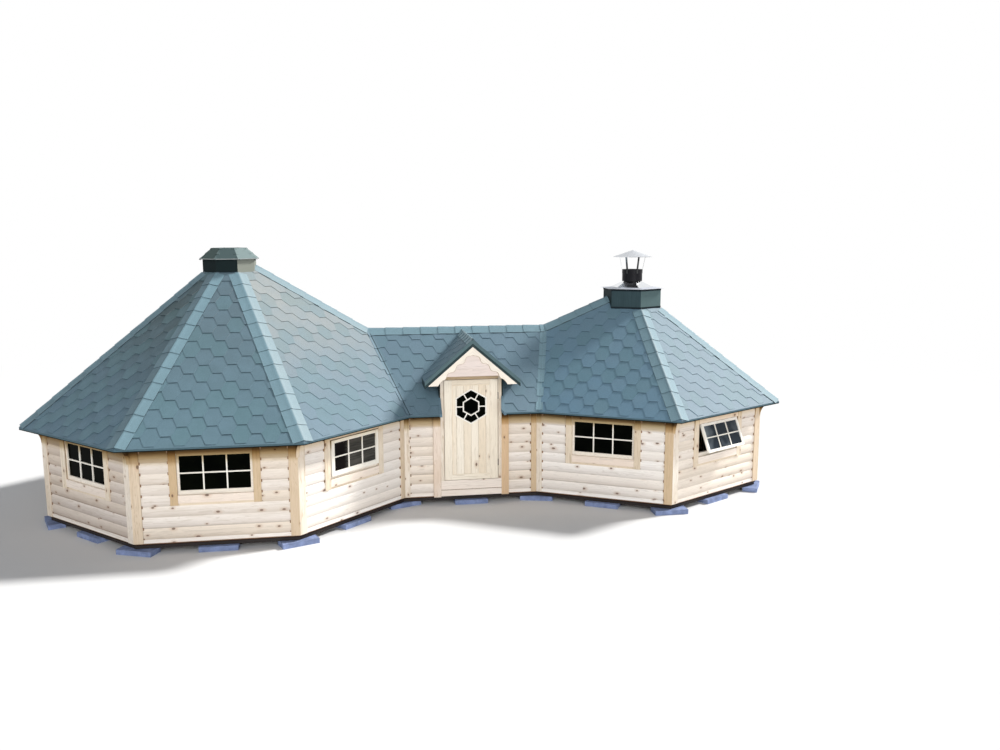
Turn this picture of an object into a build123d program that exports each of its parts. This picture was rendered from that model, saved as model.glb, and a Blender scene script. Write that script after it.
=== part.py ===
from build123d import *
from math import cos, pi, radians, sin, tan
import os

# Grill hut: an octagonal and a hexagonal log cabin, joined by a short link with the door in its front.
# The frame has +Z up, +X to the right as the front is seen, and the ground at z = 0.

os.makedirs("parts", exist_ok=True)

# Plan sizes in millimetres
wall_length = 1870  # each side of both cabins, and the width of the link
link_length = 1825  # between the two cabins
wall_thickness = 45
eave_overhang = 240
link_overhang = 264
joint_gap = 0.3  # left between boards and panels that lie side by side

# Heights
pad_height = 60
bearer_height = 40
sill_height = 28
floor_thickness = 20
eave_height = 1168  # top of the roof at its lower edge, above the wall base
roof_pitch = 40.6
roof_thickness = 18

# Base
pad_length = 450
pad_width = 200
pad_stands_out = 50
bearer_inset = 15
bearer_width = 60
sill_inset = 4
sill_width = 95

# Windows, measured from the wall base
glass_width = 795
glass_height = 410
glass_middle = 815
glass_thickness = 6
frame_side = 28
frame_head = 35
frame_sill = 50
frame_thickness = 38
frame_setback = 4
frame_fit = 0.5
sash_clearance = 8
sash_drop = 22
sash_height = 395
sash_member = 35
sash_thickness = 30
sash_opening_angle = 22.5
sash_hinge_width = 60
sash_hinge_spacing = 520
sash_hinge_rise = 36
sash_hinge_sheet = 3
casing_width = 88
casing_thickness = 22
casing_foot = 440
casing_sill_foot = 465

# Corner boards
corner_board_width = 100
inner_board_width = 80
corner_board_thickness = 22
bracket_foot = 950
bracket_reach = 180
bracket_curve_height = 205
bracket_thickness = 44

# Door, measured from the wall base and the middle of the link
door_width = 727
door_foot = 224
door_height = 1376
door_thickness = 40
door_gap = 7
door_glass_middle = 1232
door_glass_radius = 233
door_glass_thickness = 8
stop_gap = 5
stop_width = 18
frame_width = 830
frame_head_board = 38
frame_stands_out = 50
leaf_setback = 2
threshold_step = 90
threshold_step_depth = 8
side_board_width = 100
side_board_thickness = 45
side_board_drop = 12
hinge_height = 450
hinge_radius = 6
hinge_half = 44
hinge_plate = 2.4
hinge_plate_depth = 35
hinge_play = 0.5
hinge_stands_off = 1

# Dormer over the door
dormer_rises = 503  # its ridge, above the door frame
dormer_half_width = 636
dormer_thickness = 60
dormer_panel_thickness = 18
dormer_wall_thickness = 18
dormer_back = 500
doorway_depth = 600
gable_over_door = 77
barge_below_door = 40
barge_width = 62
barge_wave = 9
barge_waves = 3
barge_end_width = 131
barge_cove_start = 392

# Cap on the left roof
cap_reach = 335
cap_board = 18
cap_over_hub = 137  # the wall's top, above the roof at the opening inside it
cap_eave_radius = 402
cap_roof_height = 145
cap_top_radius = 236
cap_shell = 16
left_hub_reach = 280

# Chimney on the right roof
collar_reach = 370
collar_board = 18
lid_over_hub = 234  # the lid's edge, above the roof at the opening under it
lid_radius = 481
lid_kink_radius = 313
lid_kink_height = 16
lid_top_radius = 160
lid_height = 88
lid_sheet = 3
right_hub_reach = 300
pipe_radius = 118
sleeve_radius = 146
pipe_bore_radius = 105
pipe_below_lid = 178
sleeve_over_lid = 99
sleeve_length = 171
rain_cap_radius = 280
rain_cap_over_pipe = 184
rain_cap_height = 95
rain_cap_sheet = 3
strap_count = 6
strap_width = 26
strap_sheet = 3
strap_lap = 60
strap_top_radius = 190
strap_first_angle = 42

# Values worked out from the sizes above
base_z = pad_height + bearer_height + sill_height
eave_z = base_z + eave_height
rise = tan(radians(roof_pitch))
roof_drop = roof_thickness / cos(radians(roof_pitch))
octagon_reach = wall_length / 2 / tan(pi / 8)
hexagon_reach = wall_length / 2 / tan(pi / 6)
left_end = link_length / 2 + 2 * octagon_reach + eave_overhang
right_end = link_length / 2 + 2 * hexagon_reach + eave_overhang
link_x = (left_end - right_end) / 2
left_x = link_x - link_length / 2 - octagon_reach
right_x = link_x + link_length / 2 + hexagon_reach
link_reach = wall_length / 2
link_eave = link_reach + link_overhang
door_top = door_foot + door_height
head_foot = door_top + door_gap
frame_top = head_foot + frame_head_board
dormer_ridge_height = frame_top + dormer_rises
apex_z = eave_z + rise * (octagon_reach + eave_overhang)  # where the left slopes would meet

# Each wall's centre, distance from it, direction, length and eave overhang, anticlockwise from the back
faces = {
    "left_inner_back": (left_x, octagon_reach, 45, wall_length, eave_overhang),
    "left_back": (left_x, octagon_reach, 90, wall_length, eave_overhang),
    "left_outer_back": (left_x, octagon_reach, 135, wall_length, eave_overhang),
    "left_end": (left_x, octagon_reach, 180, wall_length, eave_overhang),
    "left_outer_front": (left_x, octagon_reach, 225, wall_length, eave_overhang),
    "left_front": (left_x, octagon_reach, 270, wall_length, eave_overhang),
    "left_inner_front": (left_x, octagon_reach, 315, wall_length, eave_overhang),
    "link_front": (link_x, link_reach, 270, link_length, link_overhang),
    "right_inner_front": (right_x, hexagon_reach, 240, wall_length, eave_overhang),
    "right_outer_front": (right_x, hexagon_reach, 300, wall_length, eave_overhang),
    "right_end": (right_x, hexagon_reach, 0, wall_length, eave_overhang),
    "right_outer_back": (right_x, hexagon_reach, 60, wall_length, eave_overhang),
    "right_inner_back": (right_x, hexagon_reach, 120, wall_length, eave_overhang),
    "link_back": (link_x, link_reach, 90, link_length, link_overhang),
}
names = list(faces)
left_window_faces = ["left_outer_front", "left_front", "left_inner_front"]
left_window_faces += ["left_outer_back", "left_back", "left_inner_back"]
closed_window_faces = left_window_faces + ["right_inner_front", "right_outer_back", "right_inner_back"]
open_window_face = "right_outer_front"


def after(name):
    """The next wall, anticlockwise."""
    return names[(names.index(name) + 1) % len(names)]


def before(name):
    """The wall before this one."""
    return names[names.index(name) - 1]


def meet(first, second, first_out, second_out):
    """Where two walls' lines cross in plan, each moved outwards by its own distance."""
    x1, reach1, turn1 = faces[first][:3]
    x2, reach2, turn2 = faces[second][:3]
    a1, b1 = cos(radians(turn1)), sin(radians(turn1))
    a2, b2 = cos(radians(turn2)), sin(radians(turn2))
    c1 = a1 * x1 + reach1 + first_out
    c2 = a2 * x2 + reach2 + second_out
    span = a1 * b2 - a2 * b1
    return (c1 * b2 - c2 * b1) / span, (a1 * c2 - a2 * c1) / span


def corner(name, out=0):
    """The corner at which a wall starts, moved outwards."""
    return meet(before(name), name, out, out)


def eave_corner(name):
    """The corner of the eaves at which a wall's roof slope starts."""
    return meet(before(name), name, faces[before(name)][4], faces[name][4])


def hub_corner(name, hub_reach):
    """The same corner on the opening at the top of a cabin's roof."""
    out = hub_reach - faces[name][1]
    return corner(name, out)


def on_wall(name, along, out=0):
    """A plan point on a wall, from the middle of its face."""
    x, reach, turn = faces[name][:3]
    c, s = cos(radians(turn)), sin(radians(turn))
    return x + (reach + out) * c - along * s, (reach + out) * s + along * c


def wall_plane(name, height, out=0):
    """A plane on a wall's face, looking outwards, with its y axis up."""
    turn = radians(faces[name][2])
    x, y = on_wall(name, 0, out)
    return Plane(origin=(x, y, base_z + height), x_dir=(-sin(turn), cos(turn), 0), z_dir=(cos(turn), sin(turn), 0))


def roof_plane(name, drop=0):
    """The top of the roof slope over a wall, or a plane below it."""
    x, reach, turn, length, overhang = faces[name]
    c, s = cos(radians(turn)), sin(radians(turn))
    edge = reach + overhang
    return Plane(origin=(x + edge * c, edge * s, eave_z - drop), z_dir=(rise * c, rise * s, 1))


def under_roof(name):
    """Where a wall or board under a slope ends."""
    return roof_plane(name, roof_drop + joint_gap)


def level(height):
    """A level plane above the wall base."""
    return Plane.XY.offset(base_z + height)


def inset(plan, distance):
    """The plan with each of its sides moved inwards."""
    count = len(plan)
    turns = sum(plan[i - 1][0] * plan[i][1] - plan[i][0] * plan[i - 1][1] for i in range(count))
    way = 1 if turns > 0 else -1
    sides = []
    for i in range(count):
        (x1, y1), (x2, y2) = plan[i - 1], plan[i]
        length = ((x2 - x1) ** 2 + (y2 - y1) ** 2) ** 0.5
        a, b = (y2 - y1) / length * way, (x1 - x2) / length * way
        sides.append((a, b, a * x1 + b * y1 - distance))
    points = []
    for i in range(count):
        (a1, b1, c1), (a2, b2, c2) = sides[i], sides[(i + 1) % count]
        span = a1 * b2 - a2 * b1
        points.append(((c1 * b2 - c2 * b1) / span, (a1 * c2 - a2 * c1) / span))
    return points


def slab(plan, bottoms, tops, gap=joint_gap):
    """A panel of the given plan, between its lower and its upper planes."""
    with BuildPart() as piece:
        with BuildSketch():
            with BuildLine():
                Polyline(*inset(plan, gap / 2), close=True)
            make_face()
        extrude(amount=apex_z + dormer_ridge_height)
        for plane in tops:
            split(bisect_by=plane, keep=Keep.BOTTOM)
        for plane in bottoms:
            split(bisect_by=plane, keep=Keep.TOP)
    return piece.part


def ring_board(name, set_in, width, foot, height):
    """One straight board of a ring under the walls, mitred at both ends."""
    plan = [corner(name, -set_in), corner(after(name), -set_in)]
    plan += [corner(after(name), -set_in - width), corner(name, -set_in - width)]
    return slab(plan, [Plane.XY.offset(foot)], [Plane.XY.offset(foot + height)])


def finish(node, name):
    """Names a finished piece and writes its file."""
    node.part.label = name
    export_step(node.part, "parts/" + name + ".step")


# Slab pads at each corner and under the middle of each wall, a little proud of the wall
with BuildPart() as foundation_pads:
    pad_places = []
    for name in names:
        turn = faces[name][2]
        x, y = on_wall(name, 0, pad_stands_out - pad_width / 2)
        pad_places.append(Location((x, y, 0), (0, 0, turn + 90)))
        x, y = corner(name, pad_stands_out - pad_width / 2)
        half_turn = ((turn - faces[before(name)][2] + 180) % 360 - 180) / 2
        pad_places.append(Location((x, y, 0), (0, 0, turn - half_turn + 90)))
    with Locations(*pad_places):
        Box(pad_length, pad_width, pad_height, align=(Align.CENTER, Align.CENTER, Align.MIN))
finish(foundation_pads, "foundation_pads")

bearer_boards = [ring_board(name, bearer_inset, bearer_width, pad_height, bearer_height) for name in names]
with BuildPart() as bearers:
    add(bearer_boards)
finish(bearers, "bearers")

sill_foot = pad_height + bearer_height
sill_boards = [ring_board(name, sill_inset, sill_width, sill_foot, sill_height) for name in names]
with BuildPart() as base_frame:
    add(sill_boards)
finish(base_frame, "base_frame")

# Floors inside the walls
inside = -wall_thickness - joint_gap
floor_planes = [level(0)], [level(floor_thickness)]
left_plan = [corner(name, inside) for name in names[0:8]]
link_plan = [corner(name, inside) for name in (names[7], names[8], names[13], names[0])]
right_plan = [corner(name, inside) for name in names[8:14]]
left_boards = slab(left_plan, *floor_planes)
link_boards = slab(link_plan, *floor_planes)
right_boards = slab(right_plan, *floor_planes)

with BuildPart() as floor:
    add([left_boards, link_boards, right_boards])
finish(floor, "floor")

# Walls
frame_outer_width = glass_width + 2 * frame_side
frame_outer_height = glass_height + frame_head + frame_sill
frame_middle = glass_middle + (frame_head - frame_sill) / 2


def wall_panel(name):
    """A whole wall, mitred at both ends, with its top cut to the roof slope."""
    plan = [corner(name), corner(after(name))]
    plan += [corner(after(name), -wall_thickness), corner(name, -wall_thickness)]
    return slab(plan, [level(0)], [under_roof(name)])


def walls_of(wall_names, window_names):
    """Walls of one node, with window openings cut through some of them."""
    panels = [wall_panel(name) for name in wall_names]
    with BuildPart() as walls:
        add(panels)
        if window_names:
            with BuildSketch(*[wall_plane(name, frame_middle) for name in window_names]):
                Rectangle(frame_outer_width + 2 * frame_fit, frame_outer_height + 2 * frame_fit)
            extrude(amount=2 * wall_thickness, both=True, mode=Mode.SUBTRACT)
    return walls


left_diagonals = ["left_outer_front", "left_inner_front", "left_inner_back", "left_outer_back"]
finish(walls_of(["left_end"], []), "left_end_wall")
finish(walls_of(["left_front"], ["left_front"]), "left_front_wall")
finish(walls_of(["left_back"], ["left_back"]), "left_back_wall")
finish(walls_of(left_diagonals, left_diagonals), "left_diagonal_walls")
finish(walls_of(["right_end"], []), "right_end_wall")
right_outers = ["right_outer_front", "right_outer_back"]
right_inners = ["right_inner_front", "right_inner_back"]
finish(walls_of(right_outers, right_outers), "right_outer_walls")
finish(walls_of(right_inners, right_inners), "right_inner_walls")
finish(walls_of(["link_back"], []), "link_back_wall")

half_frame = frame_width / 2
half_doorway = half_frame + joint_gap
wall_front = -link_reach
wall_back = -link_reach + wall_thickness
left_of_door = [corner("link_front"), (link_x - half_doorway, wall_front)]
left_of_door += [(link_x - half_doorway, wall_back), corner("link_front", -wall_thickness)]
right_of_door = [corner("right_inner_front"), (link_x + half_doorway, wall_front)]
right_of_door += [(link_x + half_doorway, wall_back), corner("right_inner_front", -wall_thickness)]
link_fronts = [slab(plan, [level(0)], [under_roof("link_front")]) for plan in (left_of_door, right_of_door)]
with BuildPart() as link_front_walls:
    add(link_fronts)
finish(link_front_walls, "link_front_walls")


# Corner boards: two boards that meet at each corner, with a curved bracket under the eaves
def corner_leg(corner_name, wall_name, width):
    """One board of a corner, on the wall that starts or ends there."""
    near = joint_gap
    far = joint_gap + corner_board_thickness
    length = faces[wall_name][3]
    along = width - length / 2 if wall_name == corner_name else length / 2 - width
    plan = [corner(corner_name, near), corner(corner_name, far)]
    plan += [on_wall(wall_name, along, far), on_wall(wall_name, along, near)]
    return slab(plan, [level(0)], [under_roof(wall_name)], gap=0)


def corner_bracket(corner_name):
    """A bracket that widens upwards, in the plane that halves the corner."""
    x, y = corner(corner_name, joint_gap + corner_board_thickness)
    turn = faces[corner_name][2]
    half_turn = ((turn - faces[before(corner_name)][2] + 180) % 360 - 180) / 2
    way = radians(turn - half_turn)
    out = corner_board_thickness
    top = eave_z + eave_overhang - base_z
    foot = bracket_foot
    side = Plane(origin=(x, y, base_z), x_dir=(cos(way), sin(way), 0), z_dir=(sin(way), -cos(way), 0))
    with BuildPart() as bracket:
        with BuildSketch(side):
            with BuildLine():
                curve = ThreePointArc(
                    (0, foot),
                    (bracket_reach * (1 - cos(pi / 4)), foot + bracket_curve_height * sin(pi / 4)),
                    (bracket_reach, foot + bracket_curve_height),
                )
                Polyline(curve @ 1, (bracket_reach, top), (-out * 0.7, top), (-out * 0.7, foot), curve @ 0)
            make_face()
        extrude(amount=bracket_thickness / 2, both=True)
        for name in (before(corner_name), corner_name):
            split(bisect_by=under_roof(name), keep=Keep.BOTTOM)
    return bracket.part


def corner_boards(corner_names, inner_names):
    """The boards of one cabin's corners, and of the corners where it meets the link."""
    pieces = []
    for name in corner_names:
        pieces += [corner_leg(name, before(name), corner_board_width)]
        pieces += [corner_leg(name, name, corner_board_width), corner_bracket(name)]
    for name in inner_names:
        pieces += [corner_leg(name, before(name), inner_board_width)]
        pieces += [corner_leg(name, name, inner_board_width)]
    with BuildPart() as boards:
        add(pieces)
    return boards


finish(corner_boards(names[1:7], [names[0], names[7]]), "left_corner_boards")
finish(corner_boards(names[9:13], [names[8], names[13]]), "right_corner_boards")

# Windows: a frame in each opening, panes in the closed ones, and casing boards round them
def frames_of(wall_names):
    """Window frames, a little behind the faces of their walls."""
    with BuildPart() as frames:
        with BuildSketch(*[wall_plane(name, glass_middle, -frame_setback) for name in wall_names]):
            with Locations((0, (frame_head - frame_sill) / 2)):
                Rectangle(frame_outer_width, frame_outer_height)
            Rectangle(glass_width, glass_height, mode=Mode.SUBTRACT)
        extrude(amount=-frame_thickness)
    return frames


finish(frames_of(closed_window_faces), "window_frames")
finish(frames_of([open_window_face]), "open_window_frame")

pane_setback = frame_setback + (frame_thickness - glass_thickness) / 2
pane_planes = [wall_plane(name, glass_middle, -pane_setback) for name in closed_window_faces]
with BuildPart() as window_glass:
    with BuildSketch(*pane_planes):
        Rectangle(glass_width - 2 * joint_gap, glass_height - 2 * joint_gap)
    extrude(amount=-glass_thickness)
finish(window_glass, "window_glass")


def casing_board(name, start, end, bottom, tops):
    """A board on the wall beside a window."""
    plan = [on_wall(name, start, joint_gap), on_wall(name, end, joint_gap)]
    far = joint_gap + casing_thickness
    plan += [on_wall(name, end, far), on_wall(name, start, far)]
    return slab(plan, [level(bottom)], tops)


casing_boards = []
half_opening = frame_outer_width / 2 + frame_fit
frame_foot = glass_middle - glass_height / 2 - frame_sill
frame_crown = glass_middle + glass_height / 2 + frame_head
for name in closed_window_faces + [open_window_face]:
    roof = [under_roof(name)]
    edge = half_opening + casing_width
    casing_boards.append(casing_board(name, -edge, -half_opening, casing_foot, roof))
    casing_boards.append(casing_board(name, half_opening, edge, casing_foot, roof))
    sill_top = [level(frame_foot - frame_fit)]
    casing_boards.append(casing_board(name, -half_opening, half_opening, casing_sill_foot, sill_top))
    casing_boards.append(casing_board(name, -half_opening, half_opening, frame_crown + frame_fit, roof))
with BuildPart() as window_casings:
    add(casing_boards)
finish(window_casings, "window_casings")

# The open sash hangs at the head of its frame, and stands outwards from there
sash_crown = glass_middle + glass_height / 2 - sash_drop
sash_width = glass_width - 2 * sash_clearance
turn, tilt = radians(faces[open_window_face][2]), radians(sash_opening_angle)
hung = Plane(
    origin=(*on_wall(open_window_face, 0, joint_gap - frame_setback), base_z + sash_crown),
    x_dir=(-sin(turn), cos(turn), 0),
    z_dir=(cos(turn) * cos(tilt), sin(turn) * cos(tilt), sin(tilt)),
)
with BuildPart() as open_window_sash:
    with BuildSketch(hung):
        with Locations((0, -sash_height / 2)):
            Rectangle(sash_width, sash_height)
            Rectangle(sash_width - 2 * sash_member, sash_height - 2 * sash_member, mode=Mode.SUBTRACT)
    extrude(amount=sash_thickness)
    with BuildSketch(wall_plane(open_window_face, sash_crown, joint_gap - frame_setback)):
        with Locations((-sash_hinge_spacing / 2, 0), (sash_hinge_spacing / 2, 0)):
            Rectangle(sash_hinge_width, 2 * sash_hinge_rise)
    extrude(amount=sash_hinge_sheet)
finish(open_window_sash, "open_window_sash")

pane_edge = 2 * sash_member + 2 * joint_gap
with BuildPart() as open_window_glass:
    with BuildSketch(hung.offset((sash_thickness - glass_thickness) / 2)):
        with Locations((0, -sash_height / 2)):
            Rectangle(sash_width - pane_edge, sash_height - pane_edge)
    extrude(amount=glass_thickness)
finish(open_window_glass, "open_window_glass")

# Door frame with its stops, threshold and side boards
frame_front = -link_reach - frame_stands_out
leaf_front = frame_front + leaf_setback
leaf_back = leaf_front + door_thickness
clear_half = door_width / 2 + door_gap
threshold_top = door_foot - door_gap
stop_front = leaf_back + stop_gap


def block(x_low, x_high, y_low, y_high, bottom, top):
    """A box, with x counted from the middle of the link and heights from the wall base."""
    plan = [(link_x + x_low, y_low), (link_x + x_high, y_low), (link_x + x_high, y_high), (link_x + x_low, y_high)]
    return slab(plan, [level(bottom)], [level(top)], gap=0)


stop_edge = clear_half - joint_gap
jamb_foot = threshold_top + joint_gap
frame_pieces = [
    block(-half_frame, -clear_half, frame_front, wall_back, jamb_foot, frame_top),
    block(clear_half, half_frame, frame_front, wall_back, jamb_foot, frame_top),
    block(joint_gap - clear_half, clear_half - joint_gap, frame_front, wall_back, head_foot, frame_top),
    block(-stop_edge, -stop_edge + stop_width, stop_front, wall_back, jamb_foot, head_foot - joint_gap),
    block(stop_edge - stop_width, stop_edge, stop_front, wall_back, jamb_foot, head_foot - joint_gap),
]
with BuildPart() as door_frame:
    add(frame_pieces)
finish(door_frame, "door_frame")

threshold_pieces = [
    block(-half_frame, half_frame, frame_front, wall_back, 0, threshold_step),
    block(-half_frame, half_frame, frame_front + threshold_step_depth, wall_back, threshold_step, threshold_top),
]
with BuildPart() as door_threshold:
    add(threshold_pieces)
finish(door_threshold, "door_threshold")


def side_board(side):
    """A thick board beside the door frame, from below the wall base to the roof."""
    near = wall_front - joint_gap
    inner = link_x + side * half_doorway
    outer = link_x + side * (half_doorway + side_board_width)
    plan = [(inner, near), (outer, near), (outer, near - side_board_thickness), (inner, near - side_board_thickness)]
    return slab(plan, [level(-side_board_drop)], [under_roof("link_front")])


side_boards = [side_board(-1), side_board(1)]
with BuildPart() as door_side_boards:
    add(side_boards)
finish(door_side_boards, "door_side_boards")

# Door leaf with its six-sided window
door_plane = Plane(origin=(link_x, leaf_front, base_z), x_dir=(1, 0, 0), z_dir=(0, -1, 0))
with BuildPart() as door_leaf:
    with BuildSketch(door_plane):
        with Locations((0, door_foot + door_height / 2)):
            Rectangle(door_width, door_height)
        with Locations((0, door_glass_middle)):
            RegularPolygon(door_glass_radius, 6, rotation=30, mode=Mode.SUBTRACT)
    extrude(amount=-door_thickness)
finish(door_leaf, "door_leaf")

with BuildPart() as door_glass:
    with BuildSketch(door_plane.offset(-(door_thickness - door_glass_thickness) / 2)):
        with Locations((0, door_glass_middle)):
            RegularPolygon(door_glass_radius - 2 * joint_gap, 6, rotation=30)
    extrude(amount=-door_glass_thickness)
finish(door_glass, "door_glass")

# Two lift-off hinges at the right edge of the leaf: the lower half of each is on the frame
hinge_x = door_width / 2 + door_gap / 2
hinge_y = leaf_front - hinge_radius - hinge_stands_off
hinge_middles = [hinge_height, 2 * door_foot + door_height - hinge_height]


def hinge_halves(foot_offset, plate_low, plate_high):
    """A knuckle and its plate at each hinge."""
    plates = []
    for middle in hinge_middles:
        foot = middle + foot_offset
        plate_front = hinge_y + hinge_radius / 3
        plates.append(block(plate_low, plate_high, plate_front, leaf_front + hinge_plate_depth, foot, foot + hinge_half))
    with BuildPart() as halves:
        add(plates)
        for middle in hinge_middles:
            with BuildSketch(level(middle + foot_offset)):
                with Locations((link_x + hinge_x, hinge_y)):
                    Circle(hinge_radius)
            extrude(amount=hinge_half)
    return halves


leaf_edge = door_width / 2 + joint_gap
jamb_edge = clear_half - joint_gap
frame_hinges = hinge_halves(-hinge_half - hinge_play / 2, jamb_edge - hinge_plate, jamb_edge)
finish(frame_hinges, "frame_hinge_halves")
finish(hinge_halves(hinge_play / 2, leaf_edge, leaf_edge + hinge_plate), "leaf_hinge_halves")

# Dormer over the door
dormer_z = base_z + dormer_ridge_height
dormer_drop = dormer_thickness / cos(radians(roof_pitch))


def dormer_plane(side, drop=0):
    """The top of one slope of the dormer, or a plane below it."""
    return Plane(origin=(link_x, 0, dormer_z - drop), z_dir=(side * rise, 0, 1))


def dormer_slope(side):
    """One slope of the dormer, from its front edge back to the link's roof."""
    ridge_back = (dormer_z - eave_z) / rise - link_eave
    eave_x = link_x + side * dormer_half_width
    plan = [(link_x, -link_eave), (eave_x, -link_eave), (eave_x, ridge_back - dormer_half_width), (link_x, ridge_back)]
    bottoms = [dormer_plane(side, dormer_drop), roof_plane("link_front", -joint_gap)]
    return slab(plan, bottoms, [dormer_plane(side)])


dormer_slopes = [dormer_slope(-1), dormer_slope(1)]
with BuildPart() as dormer_roof:
    add(dormer_slopes)
finish(dormer_roof, "dormer_roof")

under_dormer = [dormer_plane(-1, dormer_drop + joint_gap), dormer_plane(1, dormer_drop + joint_gap)]


def dormer_cheek(side):
    """A small side wall between the link's roof and the dormer's slope."""
    inner = link_x + side * (half_doorway + joint_gap)
    outer = link_x + side * (half_doorway + joint_gap + dormer_wall_thickness)
    plan = [(inner, frame_front), (outer, frame_front), (outer, -dormer_back), (inner, -dormer_back)]
    return slab(plan, [roof_plane("link_front", -joint_gap)], under_dormer)


over_plan = [(link_x - half_frame, frame_front), (link_x + half_frame, frame_front)]
over_plan += [(link_x + half_frame, wall_front), (link_x - half_frame, wall_front)]
over_door = slab(over_plan, [level(frame_top + joint_gap)], under_dormer)
dormer_sides = [dormer_cheek(-1), dormer_cheek(1)]
with BuildPart() as dormer_walls:
    add(dormer_sides)
    add(over_door)
finish(dormer_walls, "dormer_walls")

# Gable panel behind the two bargeboards
barge_back = -link_eave + dormer_panel_thickness
gable_front = barge_back + joint_gap
gable_back = gable_front + dormer_panel_thickness
gable_plan = [(link_x - dormer_half_width, gable_front), (link_x + dormer_half_width, gable_front)]
gable_plan += [(link_x + dormer_half_width, gable_back), (link_x - dormer_half_width, gable_back)]
gable_board = slab(gable_plan, [level(door_top + gable_over_door)], under_dormer)
with BuildPart() as gable_panel:
    add(gable_board)
finish(gable_panel, "gable_panel")

# One bargeboard's outline, seen from the front, from the middle of the gable outwards
barge_top = dormer_ridge_height - dormer_drop - joint_gap
barge_foot = door_top - barge_below_door
barge_tip = (barge_top - barge_foot) / rise
slope_x, slope_y = cos(radians(roof_pitch)), -sin(radians(roof_pitch))


def barge_inner(run, depth):
    """A point on the board's inner edge: so far down the slope, and so far from the outer edge."""
    return run * slope_x + depth * slope_y, barge_top + run * slope_y - depth * slope_x


first_run = barge_width * tan(radians(roof_pitch))
last_run = (barge_cove_start + barge_width * -slope_y) / slope_x
wave_run = (last_run - first_run) / barge_waves
with BuildPart() as bargeboards:
    with BuildSketch(Plane(origin=(link_x, -link_eave, base_z), x_dir=(1, 0, 0), z_dir=(0, -1, 0))):
        with BuildLine():
            for wave in range(barge_waves):
                start = barge_inner(first_run + wave * wave_run, barge_width)
                middle = barge_inner(first_run + (wave + 0.5) * wave_run, barge_width + barge_wave)
                end = barge_inner(first_run + (wave + 1) * wave_run, barge_width)
                ThreePointArc(start, middle, end)
            cove_end = (barge_tip - barge_end_width, barge_foot)
            cove_middle = (end[0] * 0.3 + cove_end[0] * 0.7, end[1] * 0.7 + cove_end[1] * 0.3)
            ThreePointArc(end, cove_middle, cove_end)
            Polyline(cove_end, (barge_tip, barge_foot), (0, barge_top), barge_inner(first_run, barge_width))
        make_face()
        mirror(about=Plane.YZ)
    extrude(amount=-dormer_panel_thickness)
finish(bargeboards, "bargeboards")

# Roof slopes. Those beside the link run on to the middle line, where they meet in a ridge.
inner_run = octagon_reach + eave_overhang - link_eave
left_ridge = (left_x + inner_run / cos(radians(45)), 0)
inner_run = hexagon_reach + eave_overhang - link_eave
right_ridge = (right_x - inner_run / cos(radians(60)), 0)
left_hub = (left_x + left_hub_reach, 0)
right_hub = (right_x - right_hub_reach, 0)


def roof_slope(name, plan):
    """One roof slope, as thick as its boards, on the given plan."""
    return slab(plan, [roof_plane(name, roof_drop)], [roof_plane(name)])


def cabin_slope(name, hub_reach):
    """A plain slope of a cabin's roof."""
    plan = [eave_corner(name), eave_corner(after(name))]
    plan += [hub_corner(after(name), hub_reach), hub_corner(name, hub_reach)]
    return roof_slope(name, plan)


def front_half(name, hub_reach, ridge, hub):
    """The slope beside the link that starts or ends at an eave corner of the link."""
    nxt = after(name)
    if name in ("left_inner_front", "right_inner_back"):
        return roof_slope(name, [eave_corner(name), eave_corner(nxt), ridge, hub, hub_corner(name, hub_reach)])
    return roof_slope(name, [eave_corner(name), eave_corner(nxt), hub_corner(nxt, hub_reach), hub, ridge])


def roof_node(pieces, name):
    """Joins some slopes in one node, with a joint between them, and writes it."""
    with BuildPart() as slopes:
        add(pieces)
    finish(slopes, name)


left_fronts = [cabin_slope(name, left_hub_reach) for name in ("left_outer_front", "left_front")]
left_fronts.append(front_half("left_inner_front", left_hub_reach, left_ridge, left_hub))
left_backs = [cabin_slope(name, left_hub_reach) for name in ("left_back", "left_outer_back")]
left_backs.append(front_half("left_inner_back", left_hub_reach, left_ridge, left_hub))
right_fronts = [front_half("right_inner_front", right_hub_reach, right_ridge, right_hub)]
right_fronts.append(cabin_slope("right_outer_front", right_hub_reach))
right_backs = [front_half("right_inner_back", right_hub_reach, right_ridge, right_hub)]
right_backs.append(cabin_slope("right_outer_back", right_hub_reach))
roof_node(left_fronts, "left_roof_front_slopes")
roof_node(left_backs, "left_roof_back_slopes")
roof_node([cabin_slope("left_end", left_hub_reach)], "left_roof_end_slope")
roof_node(right_fronts, "right_roof_front_slopes")
roof_node(right_backs, "right_roof_back_slopes")
roof_node([cabin_slope("right_end", right_hub_reach)], "right_roof_end_slope")

# The link's front slope leaves room for the doorway
door_left = link_x - half_doorway
door_right = link_x + half_doorway
link_left = [eave_corner("link_front"), (door_left, -link_eave), (door_left, 0), left_ridge]
link_right = [(door_right, -link_eave), eave_corner("right_inner_front"), right_ridge, (door_right, 0)]
link_middle = [(door_left, -doorway_depth), (door_right, -doorway_depth), (door_right, 0), (door_left, 0)]
link_slopes = [roof_slope("link_front", plan) for plan in (link_left, link_middle, link_right)]
link_behind = [eave_corner("link_back"), eave_corner("left_inner_back"), left_ridge, right_ridge]
link_slopes.append(roof_slope("link_back", link_behind))
roof_node(link_slopes, "link_roof")


# Upright boards round the opening at the top of each cabin's roof
def hub_board_half(name, side_x, side, reach, board, top, sides):
    """Half of the board that faces the link, where two slopes meet in the ridge."""
    x_out = side_x + side * reach
    x_in = side_x + side * (reach - board)
    end = tan(pi / sides) if "back" in name else -tan(pi / sides)
    plan = [(x_in, 0), (x_out, 0), (x_out, reach * end), (x_in, (reach - board) * end)]
    return slab(plan, [roof_plane(name, -joint_gap)], [top], gap=0)


def ring_corner(centre_x, sides, reach, turn):
    """A corner of a many-sided ring, so many degrees round."""
    radius = reach / cos(pi / sides)
    return centre_x + radius * cos(radians(turn)), radius * sin(radians(turn))


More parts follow.
